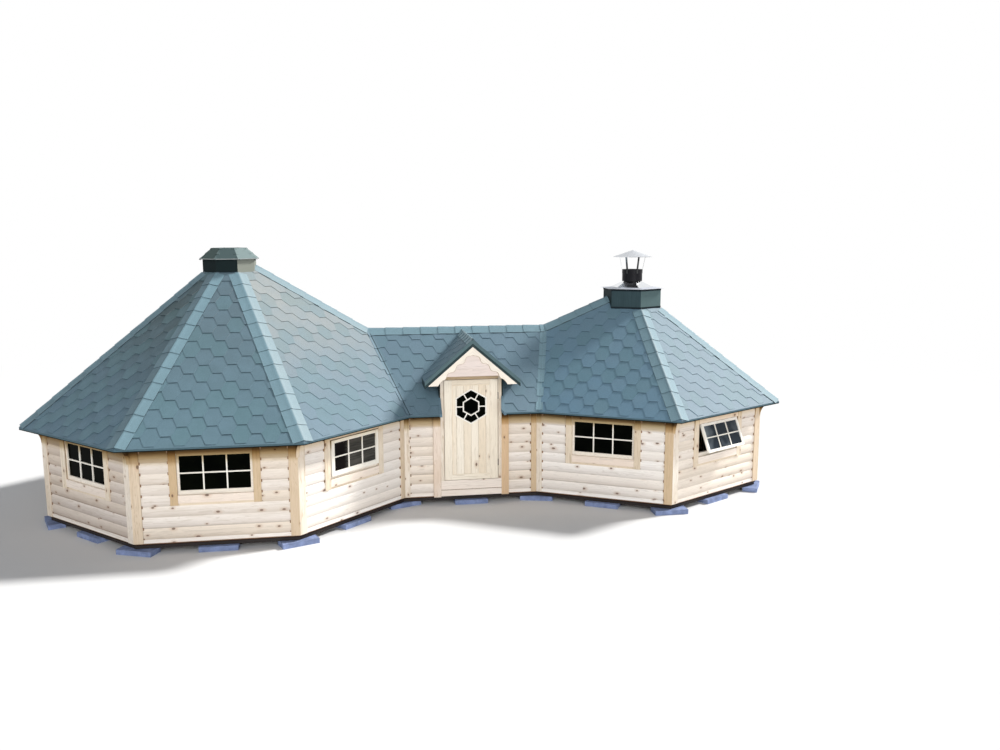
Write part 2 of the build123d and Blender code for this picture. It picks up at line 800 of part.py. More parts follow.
def hub_boards(wall_names, centre_x, side, reach, board, top, sides, inner_names):
    """All the boards of a ring. The two slopes beside the link carry one board and a half each."""
    boards = []
    for name in wall_names:
        turn = faces[name][2]
        plan = [ring_corner(centre_x, sides, reach, turn - 180 / sides)]
        plan += [ring_corner(centre_x, sides, reach, turn + 180 / sides)]
        plan += [ring_corner(centre_x, sides, reach - board, turn + 180 / sides)]
        plan += [ring_corner(centre_x, sides, reach - board, turn - 180 / sides)]
        boards.append(slab(plan, [roof_plane(name, -joint_gap)], [top], gap=0))
    for name in inner_names:
        boards.append(hub_board_half(name, centre_x, side, reach, board, top, sides))
    return boards


cap_top = eave_height + rise * (octagon_reach + eave_overhang - left_hub_reach) + cap_over_hub
left_inners = ["left_inner_front", "left_inner_back"]
cap_boards = hub_boards(names[0:7], left_x, 1, cap_reach, cap_board, level(cap_top), 8, left_inners)
with BuildPart() as left_cap_wall:
    add(cap_boards)
finish(left_cap_wall, "left_cap_wall")

# Low shingled roof on the left cap, flat at the top
with BuildPart() as left_cap_roof:
    with BuildSketch(Plane((left_x, 0, base_z + cap_top + joint_gap))):
        RegularPolygon(cap_eave_radius, 8, rotation=22.5)
    with BuildSketch(Plane((left_x, 0, base_z + cap_top + joint_gap + cap_roof_height))):
        RegularPolygon(cap_top_radius, 8, rotation=22.5)
    loft()
    with BuildSketch(Plane((left_x, 0, base_z + cap_top + joint_gap))):
        RegularPolygon(cap_reach - cap_board, 8, rotation=22.5)
    with BuildSketch(Plane((left_x, 0, base_z + cap_top + joint_gap + cap_roof_height - cap_shell))):
        RegularPolygon(cap_top_radius - 2 * cap_shell, 8, rotation=22.5)
    loft(mode=Mode.SUBTRACT)
finish(left_cap_roof, "left_cap_roof")

# Chimney: a boarded collar, a sheet lid, the flue and its rain cap
lid_foot = eave_height + rise * (hexagon_reach + eave_overhang - right_hub_reach) + lid_over_hub
pipe_foot = lid_foot - pipe_below_lid
sleeve_foot = lid_foot + sleeve_over_lid
pipe_top = sleeve_foot + sleeve_length
rain_cap_foot = pipe_top + rain_cap_over_pipe
collar_corner = collar_reach / cos(pi / 6)
lid_over_collar = lid_kink_height * (lid_radius - collar_corner) / (lid_radius - lid_kink_radius)
collar_top = lid_foot + lid_over_collar - lid_sheet - joint_gap
collar_sides = hub_boards(
    names[8:13], right_x, -1, collar_reach, collar_board, level(collar_top), 6, right_inners)
with BuildPart() as chimney_collar:
    add(collar_sides)
finish(chimney_collar, "chimney_collar")


def lid_level(height, radius):
    """One six-sided outline of the lid."""
    with BuildSketch(Plane((right_x, 0, base_z + lid_foot + height))) as outline:
        RegularPolygon(radius, 6, rotation=30)
    return outline.sketch


lid_levels = [lid_level(0, lid_radius), lid_level(lid_kink_height, lid_kink_radius), lid_level(lid_height, lid_top_radius)]
under_levels = [lid_level(-lid_sheet, lid_radius), lid_level(lid_kink_height - lid_sheet, lid_kink_radius)]
under_levels.append(lid_level(lid_height - lid_sheet, lid_top_radius - lid_sheet))
with BuildPart() as chimney_lid:
    loft(lid_levels, ruled=True)
    loft(under_levels, ruled=True, mode=Mode.SUBTRACT)
    with BuildSketch(level(lid_foot)):
        with Locations((right_x, 0)):
            Circle(pipe_radius + joint_gap)
    extrude(amount=2 * lid_height, mode=Mode.SUBTRACT)
finish(chimney_lid, "chimney_lid")

with BuildPart() as flue_pipe:
    with BuildSketch(Plane(origin=(right_x, 0, base_z), x_dir=(1, 0, 0), z_dir=(0, -1, 0))):
        with BuildLine():
            Polyline(
                (pipe_bore_radius, pipe_foot),
                (pipe_radius, pipe_foot),
                (pipe_radius, sleeve_foot),
                (sleeve_radius, sleeve_foot),
                (sleeve_radius, pipe_top),
                (pipe_bore_radius, pipe_top),
                close=True,
            )
        make_face()
    revolve(axis=Axis((right_x, 0, 0), (0, 0, 1)))
finish(flue_pipe, "flue_pipe")

# Rain cap: a flat cone on straps that are fixed round the sleeve and flare outwards
strap_near = sleeve_radius + joint_gap
strap_top = rain_cap_foot + rain_cap_height * (1 - strap_top_radius / rain_cap_radius)
with BuildPart() as rain_cap:
    with BuildSketch(Plane(origin=(right_x, 0, base_z), x_dir=(1, 0, 0), z_dir=(0, -1, 0))):
        with BuildLine():
            Polyline(
                (0, rain_cap_foot + rain_cap_height),
                (rain_cap_radius, rain_cap_foot),
                (rain_cap_radius, rain_cap_foot - rain_cap_sheet),
                (0, rain_cap_foot + rain_cap_height - rain_cap_sheet),
                close=True,
            )
        make_face()
    revolve(axis=Axis((right_x, 0, 0), (0, 0, 1)))
    for number in range(strap_count):
        way = radians(strap_first_angle + number * 360 / strap_count)
        side = Plane(origin=(right_x, 0, base_z), x_dir=(cos(way), sin(way), 0), z_dir=(sin(way), -cos(way), 0))
        with BuildSketch(side):
            with BuildLine():
                Polyline(
                    (strap_near, pipe_top - strap_lap),
                    (strap_near + strap_sheet, pipe_top - strap_lap),
                    (strap_near + strap_sheet, pipe_top),
                    (strap_top_radius + strap_sheet, strap_top - rain_cap_sheet),
                    (strap_top_radius, strap_top - rain_cap_sheet / 2),
                    (strap_near, pipe_top),
                    close=True,
                )
            make_face()
        extrude(amount=strap_width / 2, both=True)
finish(rain_cap, "rain_cap")
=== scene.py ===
import bpy
import random
from math import cos, pi, radians, sin, tan
from mathutils import Matrix, Vector

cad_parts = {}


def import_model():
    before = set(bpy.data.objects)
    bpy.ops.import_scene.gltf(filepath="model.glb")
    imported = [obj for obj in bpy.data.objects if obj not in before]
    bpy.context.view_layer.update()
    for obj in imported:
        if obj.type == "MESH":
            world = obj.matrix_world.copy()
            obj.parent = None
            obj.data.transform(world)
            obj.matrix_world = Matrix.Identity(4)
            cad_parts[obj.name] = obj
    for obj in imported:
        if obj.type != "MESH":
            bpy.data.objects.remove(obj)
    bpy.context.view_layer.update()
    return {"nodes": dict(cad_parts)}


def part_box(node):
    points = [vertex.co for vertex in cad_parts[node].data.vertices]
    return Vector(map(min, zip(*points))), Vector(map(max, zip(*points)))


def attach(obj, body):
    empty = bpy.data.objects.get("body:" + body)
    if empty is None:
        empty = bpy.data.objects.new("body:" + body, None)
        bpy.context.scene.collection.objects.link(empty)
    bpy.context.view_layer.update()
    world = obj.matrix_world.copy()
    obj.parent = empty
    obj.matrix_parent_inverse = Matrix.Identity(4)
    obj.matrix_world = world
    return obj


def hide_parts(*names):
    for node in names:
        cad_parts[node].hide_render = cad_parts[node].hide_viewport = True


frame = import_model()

# The grill hut's visible surfaces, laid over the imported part. Metres, +Z up, the front faces -Y.

random.seed(7)
right, up, front = Vector((1, 0, 0)), Vector((0, 0, 1)), Vector((0, -1, 0))

# Sizes that the part was drawn with
wall_length = 1.87
link_length = 1.825
eave_overhang = 0.24
link_overhang = 0.264
eave_height = 1.168
roof_pitch = radians(40.6)
roof_thickness = 0.018
left_hub_reach = 0.28
right_hub_reach = 0.30
cap_reach = 0.335
half_doorway = 0.4153
door_radius = 0.233
door_glass_middle = 1.232
dormer_thickness = 0.06

# Gaps that keep faces apart, and keep boards off the roof
clearance = 0.0003
roof_gap = 0.0005

# Values worked out from them, and from the frame
base_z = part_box("left_front_wall")[0].z
eave_z = base_z + eave_height
rise = tan(roof_pitch)
roof_drop = roof_thickness / cos(roof_pitch)
octagon_reach = wall_length / 2 / tan(pi / 8)
hexagon_reach = wall_length / 2 / tan(pi / 6)
link_reach = wall_length / 2
link_eave = link_reach + link_overhang
door_low, door_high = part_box("door_leaf")
frame_low, frame_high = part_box("door_frame")
collar_low, collar_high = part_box("chimney_collar")
collar_reach = (collar_high.x - collar_low.x) / 2
link_x = (door_low.x + door_high.x) / 2
left_x = link_x - link_length / 2 - octagon_reach
right_x = link_x + link_length / 2 + hexagon_reach

# Each wall's centre, distance from it, direction, length and eave overhang, anticlockwise from the back
faces = {}


def add_walls(centre, reach, first_turn, step, size, *walls):
    for number, name in enumerate(walls):
        faces[name] = (centre, reach, (first_turn + step * number) % 360, *size)


cabin_wall, link_wall = (wall_length, eave_overhang), (link_length, link_overhang)
add_walls(left_x, octagon_reach, 45, 45, cabin_wall, "left_inner_back", "left_back", "left_outer_back",
          "left_end", "left_outer_front", "left_front", "left_inner_front")
add_walls(link_x, link_reach, 270, 0, link_wall, "link_front")
add_walls(right_x, hexagon_reach, 240, 60, cabin_wall, "right_inner_front", "right_outer_front",
          "right_end", "right_outer_back", "right_inner_back")
add_walls(link_x, link_reach, 90, 0, link_wall, "link_back")
names = list(faces)
left_walls, right_walls = names[:7], names[8:13]
window_walls = [name for name in names if "end" not in name and "link" not in name]
open_wall = "right_outer_front"
sash_walls = ["left_inner_front", "left_inner_back"]
# Walls whose logs are painted paler, as painted light
painted_light_walls = sash_walls + ["right_inner_front", "right_inner_back"]
inner_corners = ["left_inner_back", "link_front", "right_inner_front", "link_back"]


def after(name):
    return names[(names.index(name) + 1) % len(names)]


def before(name):
    return names[names.index(name) - 1]


def direction(turn):
    """A level direction, in degrees from +X."""
    return Vector((cos(radians(turn)), sin(radians(turn)), 0))


def outward(name):
    return direction(faces[name][2])


def sideways(name):
    return up.cross(outward(name))


def on_wall(name, along, out=0.0, height=0.0):
    """A point on a wall, from the middle of its face at the wall base."""
    x, reach = faces[name][:2]
    return Vector((x, 0, base_z + height)) + outward(name) * (reach + out) + sideways(name) * along


def meet(first, second, first_out, second_out):
    """Where two walls' lines cross in plan, each moved outwards by its own distance."""
    n1, n2 = outward(first), outward(second)
    c1 = n1.x * faces[first][0] + faces[first][1] + first_out
    c2 = n2.x * faces[second][0] + faces[second][1] + second_out
    span = n1.x * n2.y - n1.y * n2.x
    return Vector(((c1 * n2.y - c2 * n1.y) / span, (n1.x * c2 - n2.x * c1) / span, 0))


def corner(name, out=0.0):
    """The corner at which a wall starts, moved outwards."""
    return meet(before(name), name, out, out)


def eave_corner(name):
    return meet(before(name), name, faces[before(name)][4], faces[name][4])


def hub_corner(name, hub_reach):
    return corner(name, hub_reach - faces[name][1])


def roof_height(name, point, drop=0.0):
    """The height of the top of a roof slope over a plan point, or so far below it."""
    x, reach, turn, length, overhang = faces[name]
    out = Vector((point[0] - x, point[1], 0)).dot(outward(name))
    return eave_z - drop + rise * (reach + overhang - out)


def under_roof(*walls):
    """Gives the height just under the roof over a plan point."""
    return lambda point: min(roof_height(name, point, roof_drop + roof_gap) for name in walls)


def on_roof(name, point):
    return Vector((point[0], point[1], roof_height(name, point)))


def slope_up(name):
    """The way up a roof slope."""
    return up * sin(roof_pitch) - outward(name) * cos(roof_pitch)


def slope_normal(name):
    return up * cos(roof_pitch) + outward(name) * sin(roof_pitch)


def turned(vector, way):
    """The vector, turned round where it points away from the given way."""
    return vector if vector.dot(way) > 0 else -vector


def wall_axes(name, upright=False):
    """A wall board's directions: along, across and through."""
    return (up, sideways(name), outward(name)) if upright else (sideways(name), up, outward(name))


def net(rows, columns, ring_rows=False, ring_columns=False):
    """The faces of a net of points listed row by row, whose rows or columns may close in a ring."""
    quads = []
    for row in range(rows if ring_rows else rows - 1):
        low, high = row * columns, (row + 1) % rows * columns
        for column in range(columns if ring_columns else columns - 1):
            following = (column + 1) % columns
            quads.append((low + column, low + following, high + following, high + column))
    return quads


looks = {}


class Shapes:
    """A mesh made of many small shapes, each with its own tint and its own run of grain."""

    def __init__(self, name):
        self.name = name
        self.points, self.faces, self.smooth = [], [], []
        self.tints, self.grains, self.edges = [], [], []

    def add(self, points, polygons, tint=None, axes=None, edge=0.0, smooth=False):
        """Adds one shape. The axes are its grain's directions: along, across and through."""
        start = len(self.points)
        tint = random.random() if tint is None else tint
        shift = Vector([random.uniform(-40, 40) for axis in range(3)])
        self.points += points
        self.tints += [tint] * len(points)
        self.edges += edge if isinstance(edge, list) else [edge] * len(points)
        for point in points:
            self.grains.extend(Vector([point.dot(axis) for axis in axes or (right, -front, up)]) + shift)
        self.faces += [[start + index for index in polygon] for polygon in polygons]
        self.smooth += [smooth] * len(polygons)

    def box(self, low, high, tint=None, axes=None):
        """Adds a prism between two outlines."""
        low, high = list(low), list(high)
        if (low[1] - low[0]).cross(low[2] - low[1]).dot(high[0] - low[0]) < 0:
            low.reverse()
            high.reverse()
        count = len(low)
        ends = [tuple(reversed(range(count))), tuple(range(count, 2 * count))]
        self.add(low + high, ends + net(2, count, ring_columns=True), tint, axes)

    def post(self, plan, bottom, top, tint=None, axes=None):
        """Adds a prism over a plan. Its bottom and top are heights, or give one over each plan point."""
        ends = []
        for height in (bottom, top):
            ends.append([Vector((p[0], p[1], height(p) if callable(height) else height)) for p in plan])
        self.box(*ends, tint, axes)

    def make(self, look, slot, replaces=(), bevel=0.0, body="hut"):
        mesh = bpy.data.meshes.new(self.name)
        mesh.from_pydata(self.points, [], self.faces)
        mesh.polygons.foreach_set("use_smooth", self.smooth)
        mesh.attributes.new("tint", "FLOAT", "POINT").data.foreach_set("value", self.tints)
        # The edge value is painted shade and painted shadow: darker row feet, tab edges and cap lips
        mesh.attributes.new("edge", "FLOAT", "POINT").data.foreach_set("value", self.edges)
        mesh.attributes.new("grain", "FLOAT_VECTOR", "POINT").data.foreach_set("vector", self.grains)
        mesh.update()
        mesh.materials.append(looks[look])
        piece = bpy.data.objects.new(self.name, mesh)
        bpy.context.scene.collection.objects.link(piece)
        if bevel:
            rounding = piece.modifiers.new("rounding", "BEVEL")
            rounding.width = bevel
            rounding.segments = 2
            rounding.limit_method = "ANGLE"
            rounding.angle_limit = radians(30)
        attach(piece, body)
        if replaces:
            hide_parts(*replaces)


# Materials
class Nodes:
    """A material whose nodes are made by short calls."""

    def __init__(self, name):
        self.material = bpy.data.materials.new(name)
        self.material.use_nodes = True
        self.tree = self.material.node_tree
        self.shader = self.tree.nodes["Principled BSDF"]

    def new(self, kind, inputs=(), **settings):
        """A node with its settings, and with a value or a link for some of its inputs."""
        node = self.tree.nodes.new(kind)
        for key, value in settings.items():
            setattr(node, key, value)
        for key, value in dict(inputs).items():
            self.put(value, node.inputs[key])
        return node

    def put(self, value, socket):
        if hasattr(value, "is_output"):
            self.tree.links.new(value, socket)
        else:
            socket.default_value = (*value, 1) if socket.type == "RGBA" else value

    def attribute(self, name, output="Fac"):
        return self.new("ShaderNodeAttribute", attribute_name=name).outputs[output]

    def place(self):
        return self.new("ShaderNodeTexCoord").outputs["Object"]

    def parts(self, vector):
        return self.new("ShaderNodeSeparateXYZ", {0: vector}).outputs

    def facing(self):
        """The parts of the way that a face looks."""
        return self.parts(self.new("ShaderNodeNewGeometry").outputs["True Normal"])

    def math(self, operation, first, second):
        return self.new("ShaderNodeMath", {0: first, 1: second}, operation=operation).outputs[0]

    def times(self, first, second):
        return self.math("MULTIPLY", first, second)

    def stretch(self, vector, scale):
        return self.new("ShaderNodeMapping", {"Vector": vector, "Scale": scale}).outputs[0]

    def noise(self, vector, scale=1.0, detail=3.0, roughness=0.55):
        inputs = {"Vector": vector, "Scale": scale, "Detail": detail, "Roughness": roughness}
        return self.new("ShaderNodeTexNoise", inputs).outputs["Fac"]

    def span(self, value, low, high, to_low=0.0, to_high=1.0, smooth=True):
        """The value's place between low and high, as a value between to_low and to_high."""
        inputs = {"Value": value, "From Min": low, "From Max": high, "To Min": to_low, "To Max": to_high}
        kind = "SMOOTHSTEP" if smooth else "LINEAR"
        return self.new("ShaderNodeMapRange", inputs, interpolation_type=kind).outputs[0]

    def mix(self, amount, first, second, blend="MIX"):
        inputs = {0: amount, 6: first, 7: second}
        return self.new("ShaderNodeMix", inputs, data_type="RGBA", blend_type=blend).outputs[2]

    def ramp(self, value, stops):
        """A colour for each stop of the value, from pairs of a place and a colour."""
        node = self.new("ShaderNodeValToRGB", {0: value})
        elements = node.color_ramp.elements
        while len(elements) < len(stops):
            elements.new(0.5)
        for element, (place, colour) in zip(elements, stops):
            element.position = place
            element.color = (*colour, 1)
        return node.outputs[0]

    def bump(self, height, distance, strength=1.0, before=None):
        inputs = {"Height": height, "Distance": distance, "Strength": strength}
        if before is not None:
            inputs["Normal"] = before
        return self.new("ShaderNodeBump", inputs).outputs[0]

    def finish(self, colour, roughness, normal=None, metallic=0.0, specular=0.4):
        values = {"Base Color": colour, "Roughness": roughness, "Metallic": metallic}
        values["Specular IOR Level"] = specular
        if normal is not None:
            values["Normal"] = normal
        for key, value in values.items():
            self.put(value, self.shader.inputs[key])
        looks[self.material.name] = self.material


def shade(colour, factor):
    return tuple(channel * factor for channel in colour)


def wood(name, pale, warm, knots=0.0, boards=True, eaves=False):
    """Pine with fibres, growth rings and knots, whose tint differs from board to board."""
    n = Nodes(name)
    place = n.attribute("grain", "Vector") if boards else n.place()
    tint = n.attribute("tint") if boards else n.noise(place, 0.7)
    knot_place = {"Vector": n.stretch(place, (4.2, 7.2, 1.0)), "Scale": 1.0}
    cells = n.new("ShaderNodeTexVoronoi", knot_place, voronoi_dimensions="2D").outputs
    chance = n.new("ShaderNodeSeparateColor", {0: cells["Color"]}).outputs
    present = n.math("LESS_THAN", chance[0], knots)
    distance = n.math("DIVIDE", cells["Distance"], n.span(chance[1], 0, 1, 0.5, 1.15, smooth=False))
    heart = n.times(n.span(distance, 0.11, 0.06), present)
    halo = n.times(n.span(distance, 0.30, 0.08), present)
    bend = n.noise(n.stretch(place, (1.6, 7, 7)), detail=2.0)
    swirl = n.times(n.math("ADD", bend, n.times(halo, 0.35)), 9.0)
    moved = n.new("ShaderNodeVectorMath", {0: n.stretch(place, (0.5, 55, 55)), 1: swirl}, operation="ADD")
    rings = n.noise(moved.outputs[0], roughness=0.6)
    fibres = n.noise(n.stretch(place, (9, 420, 420)), 1.0, 2.0, 0.6)
    patches = n.noise(n.stretch(place, (1.1, 3.5, 3.5)), detail=2.0)
    base = n.mix(tint, pale, warm)
    base = n.mix(n.span(rings, 0.45, 0.75, 0.0, 0.6), base, shade(warm, 0.72))
    base = n.mix(n.span(fibres, 0.35, 0.75, 0.0, 0.24), base, shade(warm, 0.6))
    base = n.mix(n.span(patches, 0.4, 0.7, 0.0, 0.35), base, shade(warm, 0.85))
    base = n.mix(n.times(halo, 0.35), base, (0.46, 0.27, 0.14))
    base = n.mix(n.times(heart, 0.85), base, (0.12, 0.065, 0.04))
    # Painted shade from the mesh's edge values, such as the log rows' darker feet
    base = n.mix(n.times(n.attribute("edge"), 0.85), base, (0.20, 0.12, 0.08))
    gloss = 0.3
    # Painted shade under the eaves: it darkens the colour and dims the gloss there
    if eaves:
        light = eave_shade(n)
        base, gloss = n.mix(1.0, base, light, "MULTIPLY"), n.times(light, gloss)
    normal = n.bump(n.math("ADD", n.times(fibres, 0.4), n.times(rings, 0.6)), 0.0012, 0.6)
    normal = n.bump(heart, 0.002, 0.5, normal)
    n.finish(base, n.span(rings, 0.3, 0.8, 0.5, 0.68, smooth=False), normal, specular=gloss)


# Painted shade on the timber from below the eaves up to them: under the left roof's shady sides, under the
# others, and on faces turned to the sun
deep_shade = [(0.0, (1, 1, 1)), (0.155, (0.88, 0.84, 0.75)), (0.275, (0.66, 0.58, 0.44)),
              (0.40, (0.56, 0.48, 0.33)), (0.52, (0.48, 0.38, 0.22)), (0.64, (0.33, 0.24, 0.12)),
              (0.76, (0.19, 0.125, 0.055)), (0.88, (0.08, 0.055, 0.025)), (1.0, (0.025, 0.022, 0.014))]
mid_shade = [(0.25, (1, 1, 1)), (0.34, (0.80, 0.73, 0.59)), (0.47, (0.67, 0.58, 0.41)),
             (0.60, (0.54, 0.45, 0.28)), (0.67, (0.43, 0.34, 0.19)), (0.80, (0.18, 0.125, 0.06)),
             (0.90, (0.08, 0.06, 0.03)), (1.0, (0.05, 0.045, 0.025))]
sunny_shade = [(0.4, (1, 1, 1)), (0.65, (0.96, 0.91, 0.80)), (0.8, (0.90, 0.82, 0.66)),
               (0.9, (0.80, 0.70, 0.53)), (1.0, (0.46, 0.39, 0.28))]


def eave_shade(n):
    where, turn = n.parts(n.place()), n.facing()[0]
    share = n.span(where[2], eave_z - 0.26, eave_z - 0.053, smooth=False)
    on_left = n.math("LESS_THAN", where[0], link_x - link_length / 2 + 0.09)
    shaded = n.mix(on_left, n.ramp(share, mid_shade), n.ramp(share, deep_shade))
    half_turned = n.times(n.span(turn, 0.15, 0.45), n.span(turn, 0.84, 0.74))
    sunny = n.times(half_turned, n.math("GREATER_THAN", where[0], left_x + 0.9))
    return n.mix(sunny, shaded, n.ramp(share, sunny_shade))


def painted_side_light(n, stops):
    """Painted light and shade: a colour that goes with how far a face turns to the left or to the right, from
    -1 to 1.
    """
    share = n.span(n.facing()[0], -1, 1, smooth=False)
    return n.ramp(share, [((place + 1) / 2, colour) for place, colour in stops])


def shingle(name, colour, tints=(), specular=0.2, sun_side=(), high_side_light=()):
    """Mineral-faced bitumen: fine granules, with a tint for each tab, or painted light and shade for each
    side.
    """
    n = Nodes(name)
    place, tint = n.attribute("grain", "Vector"), n.attribute("tint")
    granules, patches = n.noise(place, 420, 2.0, 0.7), n.noise(place, 2.3, 4.0, 0.6)
    if sun_side:
        base = painted_side_light(n, sun_side)
    else:
        stops = [(index / (len(tints) - 1), value) for index, value in enumerate(tints)]
        base = n.mix(0.45, n.ramp(tint, stops), colour)
    if high_side_light:
        height = n.span(n.parts(n.place())[2], eave_z + 0.1, eave_z + 1.6)
        # Painted light and shade that change from low down to high up the slope
        base = n.mix(height, base, painted_side_light(n, high_side_light))
        base = n.mix(n.span(tint, 0, 1, 0.0, 0.12), base, shade(colour, 0.6))
        base = n.mix(n.span(tint, 0.5, 0.7, 0.0, 0.3), base, (0.078, 0.165, 0.178))
    base = n.mix(n.span(patches, 0.35, 0.7, 0.0, 0.3), base, shade(colour, 1.22))
    base = n.mix(0.8, base, n.span(granules, 0.3, 0.72, 0.62, 1.45, smooth=False), "MULTIPLY")
    # Painted shadow along the edges that the mesh marks: the tabs' edges and the caps' lips
    base = n.mix(n.attribute("edge"), base, shade(colour, 0.2))
    n.finish(base, 0.6, n.bump(patches, 0.01, 0.25, n.bump(granules, 0.0016, 0.5)), specular=specular)


def sheet(name, colour, metallic=0.0, roughness=0.6, streak=0.15, specular=0.4, sun_side=()):
    """Sheet metal with faint dents and weather streaks, and where asked painted light and shade for each
    side.
    """
    n = Nodes(name)
    place = n.place()
    dents, fine = n.noise(place, 6), n.noise(place, 300, 2.0)
    streaks = n.noise(n.stretch(place, (38, 38, 3.0)), 1.0, 4.0, 0.65)
    base = painted_side_light(n, sun_side) if sun_side else colour
    base = n.mix(n.span(streaks, 0.35, 0.7, 0.0, streak * 2), base, shade(colour, 1.7))
    base = n.mix(n.span(dents, 0.4, 0.65, 0.0, streak), base, shade(colour, 0.55))
    rough = n.span(streaks, 0.3, 0.7, roughness - 0.08, roughness + 0.12, smooth=False)
    n.finish(base, rough, n.bump(fine, 0.0004, 0.3, n.bump(dents, 0.01, 0.25)), metallic, specular)


def lid_metal(name):
    """A polished cone over a matt rim."""
    n = Nodes(name)
    place = n.place()
    rim = n.math("LESS_THAN", n.parts(place)[2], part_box("chimney_lid")[1].z - 0.072)
    dents, fine = n.noise(place, 5, 2.0), n.noise(place, 300, 2.0)
    base = n.mix(rim, (0.78, 0.80, 0.82), n.mix(dents, (0.42, 0.45, 0.52), (0.50, 0.52, 0.57)))
    rough = n.math("ADD", n.times(rim, 0.3), n.span(dents, 0.3, 0.7, 0.12, 0.2))
    metallic = n.math("SUBTRACT", 1.0, n.times(rim, 0.6))
    n.finish(base, rough, n.bump(fine, 0.0004, 0.2, n.bump(dents, 0.004, 0.15)), metallic)


def rain_metal(name, bright, dark):
    """Stainless sheet with painted light and shade: bright on faces that look up and on one strap, dark
    elsewhere as painted shade.
    """
    n = Nodes(name)
    place = n.place()
    above = n.math("GREATER_THAN", n.facing()[2], 0.5)
    lit = n.math("MAXIMUM", above, n.math("LESS_THAN", n.parts(place)[0], right_x - 0.13))
    streaks = n.noise(n.stretch(place, (30, 30, 8)), 1.0, 4.0, 0.6)
    base = n.mix(lit, dark, n.mix(n.span(streaks, 0.3, 0.7), bright, shade(bright, 0.82)))
    rough = n.span(streaks, 0.3, 0.7, 0.28, 0.42, smooth=False)
    n.finish(base, rough, n.bump(n.noise(place, 260, 2.0), 0.0004, 0.3), n.times(lit, 0.55))


def sill_wood(name):
    """Treated timber that is warm along its upper edge, and near-black below it as painted shade."""
    n = Nodes(name)
    place = n.place()
    fibres = n.noise(n.stretch(place, (12, 12, 160)), detail=4.0)
    warm = n.mix(fibres, (0.34, 0.19, 0.10), (0.24, 0.12, 0.06))
    dark = n.mix(fibres, (0.022, 0.011, 0.008), (0.012, 0.006, 0.005))
    height = n.math("ADD", n.parts(place)[2], n.times(fibres, 0.004))
    base = n.mix(n.span(height, base_z - 0.012, base_z - 0.009), dark, warm)
    n.finish(base, 0.7, n.bump(fibres, 0.002, 0.4), specular=0.2)


def stone(name, colour):
    """Rough cast concrete."""
    n = Nodes(name)
    place = n.place()
    coarse, fine = n.noise(place, 9, 5.0, 0.65), n.noise(place, 160, 3.0, 0.7)
    base = n.mix(n.span(coarse, 0.3, 0.7), shade(colour, 0.72), shade(colour, 1.2))
    base = n.mix(n.span(fine, 0.55, 0.75, 0.0, 0.5), base, shade(colour, 0.45))
    n.finish(base, 0.9, n.bump(fine, 0.002, 0.6, n.bump(coarse, 0.008, 0.5)), specular=0.2)


def pane(name, deep, light, specular):
    """Window glass over a dark room, with faint waves and dust."""
    n = Nodes(name)
    place = n.place()
    waves, dust = n.noise(place, 2.6, 2.0), n.noise(place, 45, 4.0, 0.7)
    rough = n.span(dust, 0.4, 0.8, 0.05, 0.16, smooth=False)
    base = n.mix(n.span(waves, 0.42, 0.62), deep, light)
    n.finish(base, rough, n.bump(waves, 0.004, 0.15), specular=specular)


def glass_with_painted_reflection(name):
    """A pane that is dark on its left, with a painted reflection of a wall's rows on its right."""
    n = Nodes(name)
    place = n.place()
    rows = n.noise(n.stretch(place, (3, 3, 34)))
    light = n.mix(n.span(rows, 0.35, 0.65), (0.036, 0.035, 0.031), (0.066, 0.063, 0.056))
    middle = left_x + octagon_reach * cos(radians(45))
    across = n.math("ADD", n.parts(place)[0], n.times(rows, 0.05))
    base = n.mix(n.span(across, middle - 0.10, middle - 0.03), (0.006, 0.005, 0.005), light)
    n.finish(base, n.span(n.noise(place, 45, 4.0, 0.7), 0.4, 0.8, 0.1, 0.2, smooth=False), specular=0.05)


def roof_board(name):
    """The boards under the shingles. Their upright edges have shingle over a dark metal drip."""
    n = Nodes(name)
    place = n.place()
    fibres, speckle = n.noise(n.stretch(place, (30, 30, 30)), detail=4.0), n.noise(place, 50)
    boards = n.mix(fibres, (0.56, 0.38, 0.21), (0.40, 0.25, 0.12))
    drip = n.mix(speckle, (0.004, 0.006, 0.005), (0.009, 0.012, 0.011))
    cover = n.mix(speckle, (0.066, 0.116, 0.140), (0.090, 0.148, 0.176))
    edge = n.mix(n.math("GREATER_THAN", n.parts(place)[2], eave_z - 0.012), drip, cover)
    base = n.mix(n.math("LESS_THAN", n.facing()[2], -0.3), edge, boards)
    n.finish(base, 0.6, n.bump(fibres, 0.002, 0.4), specular=0.08)


# Pine: a pale and a warm colour, the share of cells with a knot
wood("log_pine", (0.88, 0.82, 0.76), (0.83, 0.73, 0.61), 0.42, eaves=True)
wood("log_pine_painted_light", (0.95, 0.92, 0.88), (0.91, 0.84, 0.76), 0.36, eaves=True)
wood("post_pine", (0.82, 0.75, 0.66), (0.60, 0.44, 0.27), 0.3, eaves=True)
wood("surround_pine", (0.82, 0.75, 0.66), (0.60, 0.44, 0.27), 0.1)
wood("casing_pine", (0.84, 0.76, 0.64), (0.57, 0.41, 0.24), 0.3, eaves=True)
wood("side_pine", (0.80, 0.69, 0.60), (0.66, 0.46, 0.28), 0.3, eaves=True)
wood("rail_pine", (0.85, 0.77, 0.69), (0.84, 0.71, 0.60), 0.3, eaves=True)
wood("bar_pine", (0.90, 0.87, 0.80), (0.88, 0.82, 0.72))
wood("window_pine", (0.90, 0.87, 0.80), (0.88, 0.82, 0.72), eaves=True)
wood("door_pine", (0.88, 0.81, 0.69), (0.81, 0.69, 0.53), 0.25)
wood("sash_pine", (0.93, 0.90, 0.85), (0.91, 0.87, 0.79), boards=False)
wood("barge_pine", (0.90, 0.84, 0.74), (0.88, 0.78, 0.66), 0.12)
wood("gable_pine", (0.77, 0.69, 0.655), (0.77, 0.655, 0.59), 0.15)
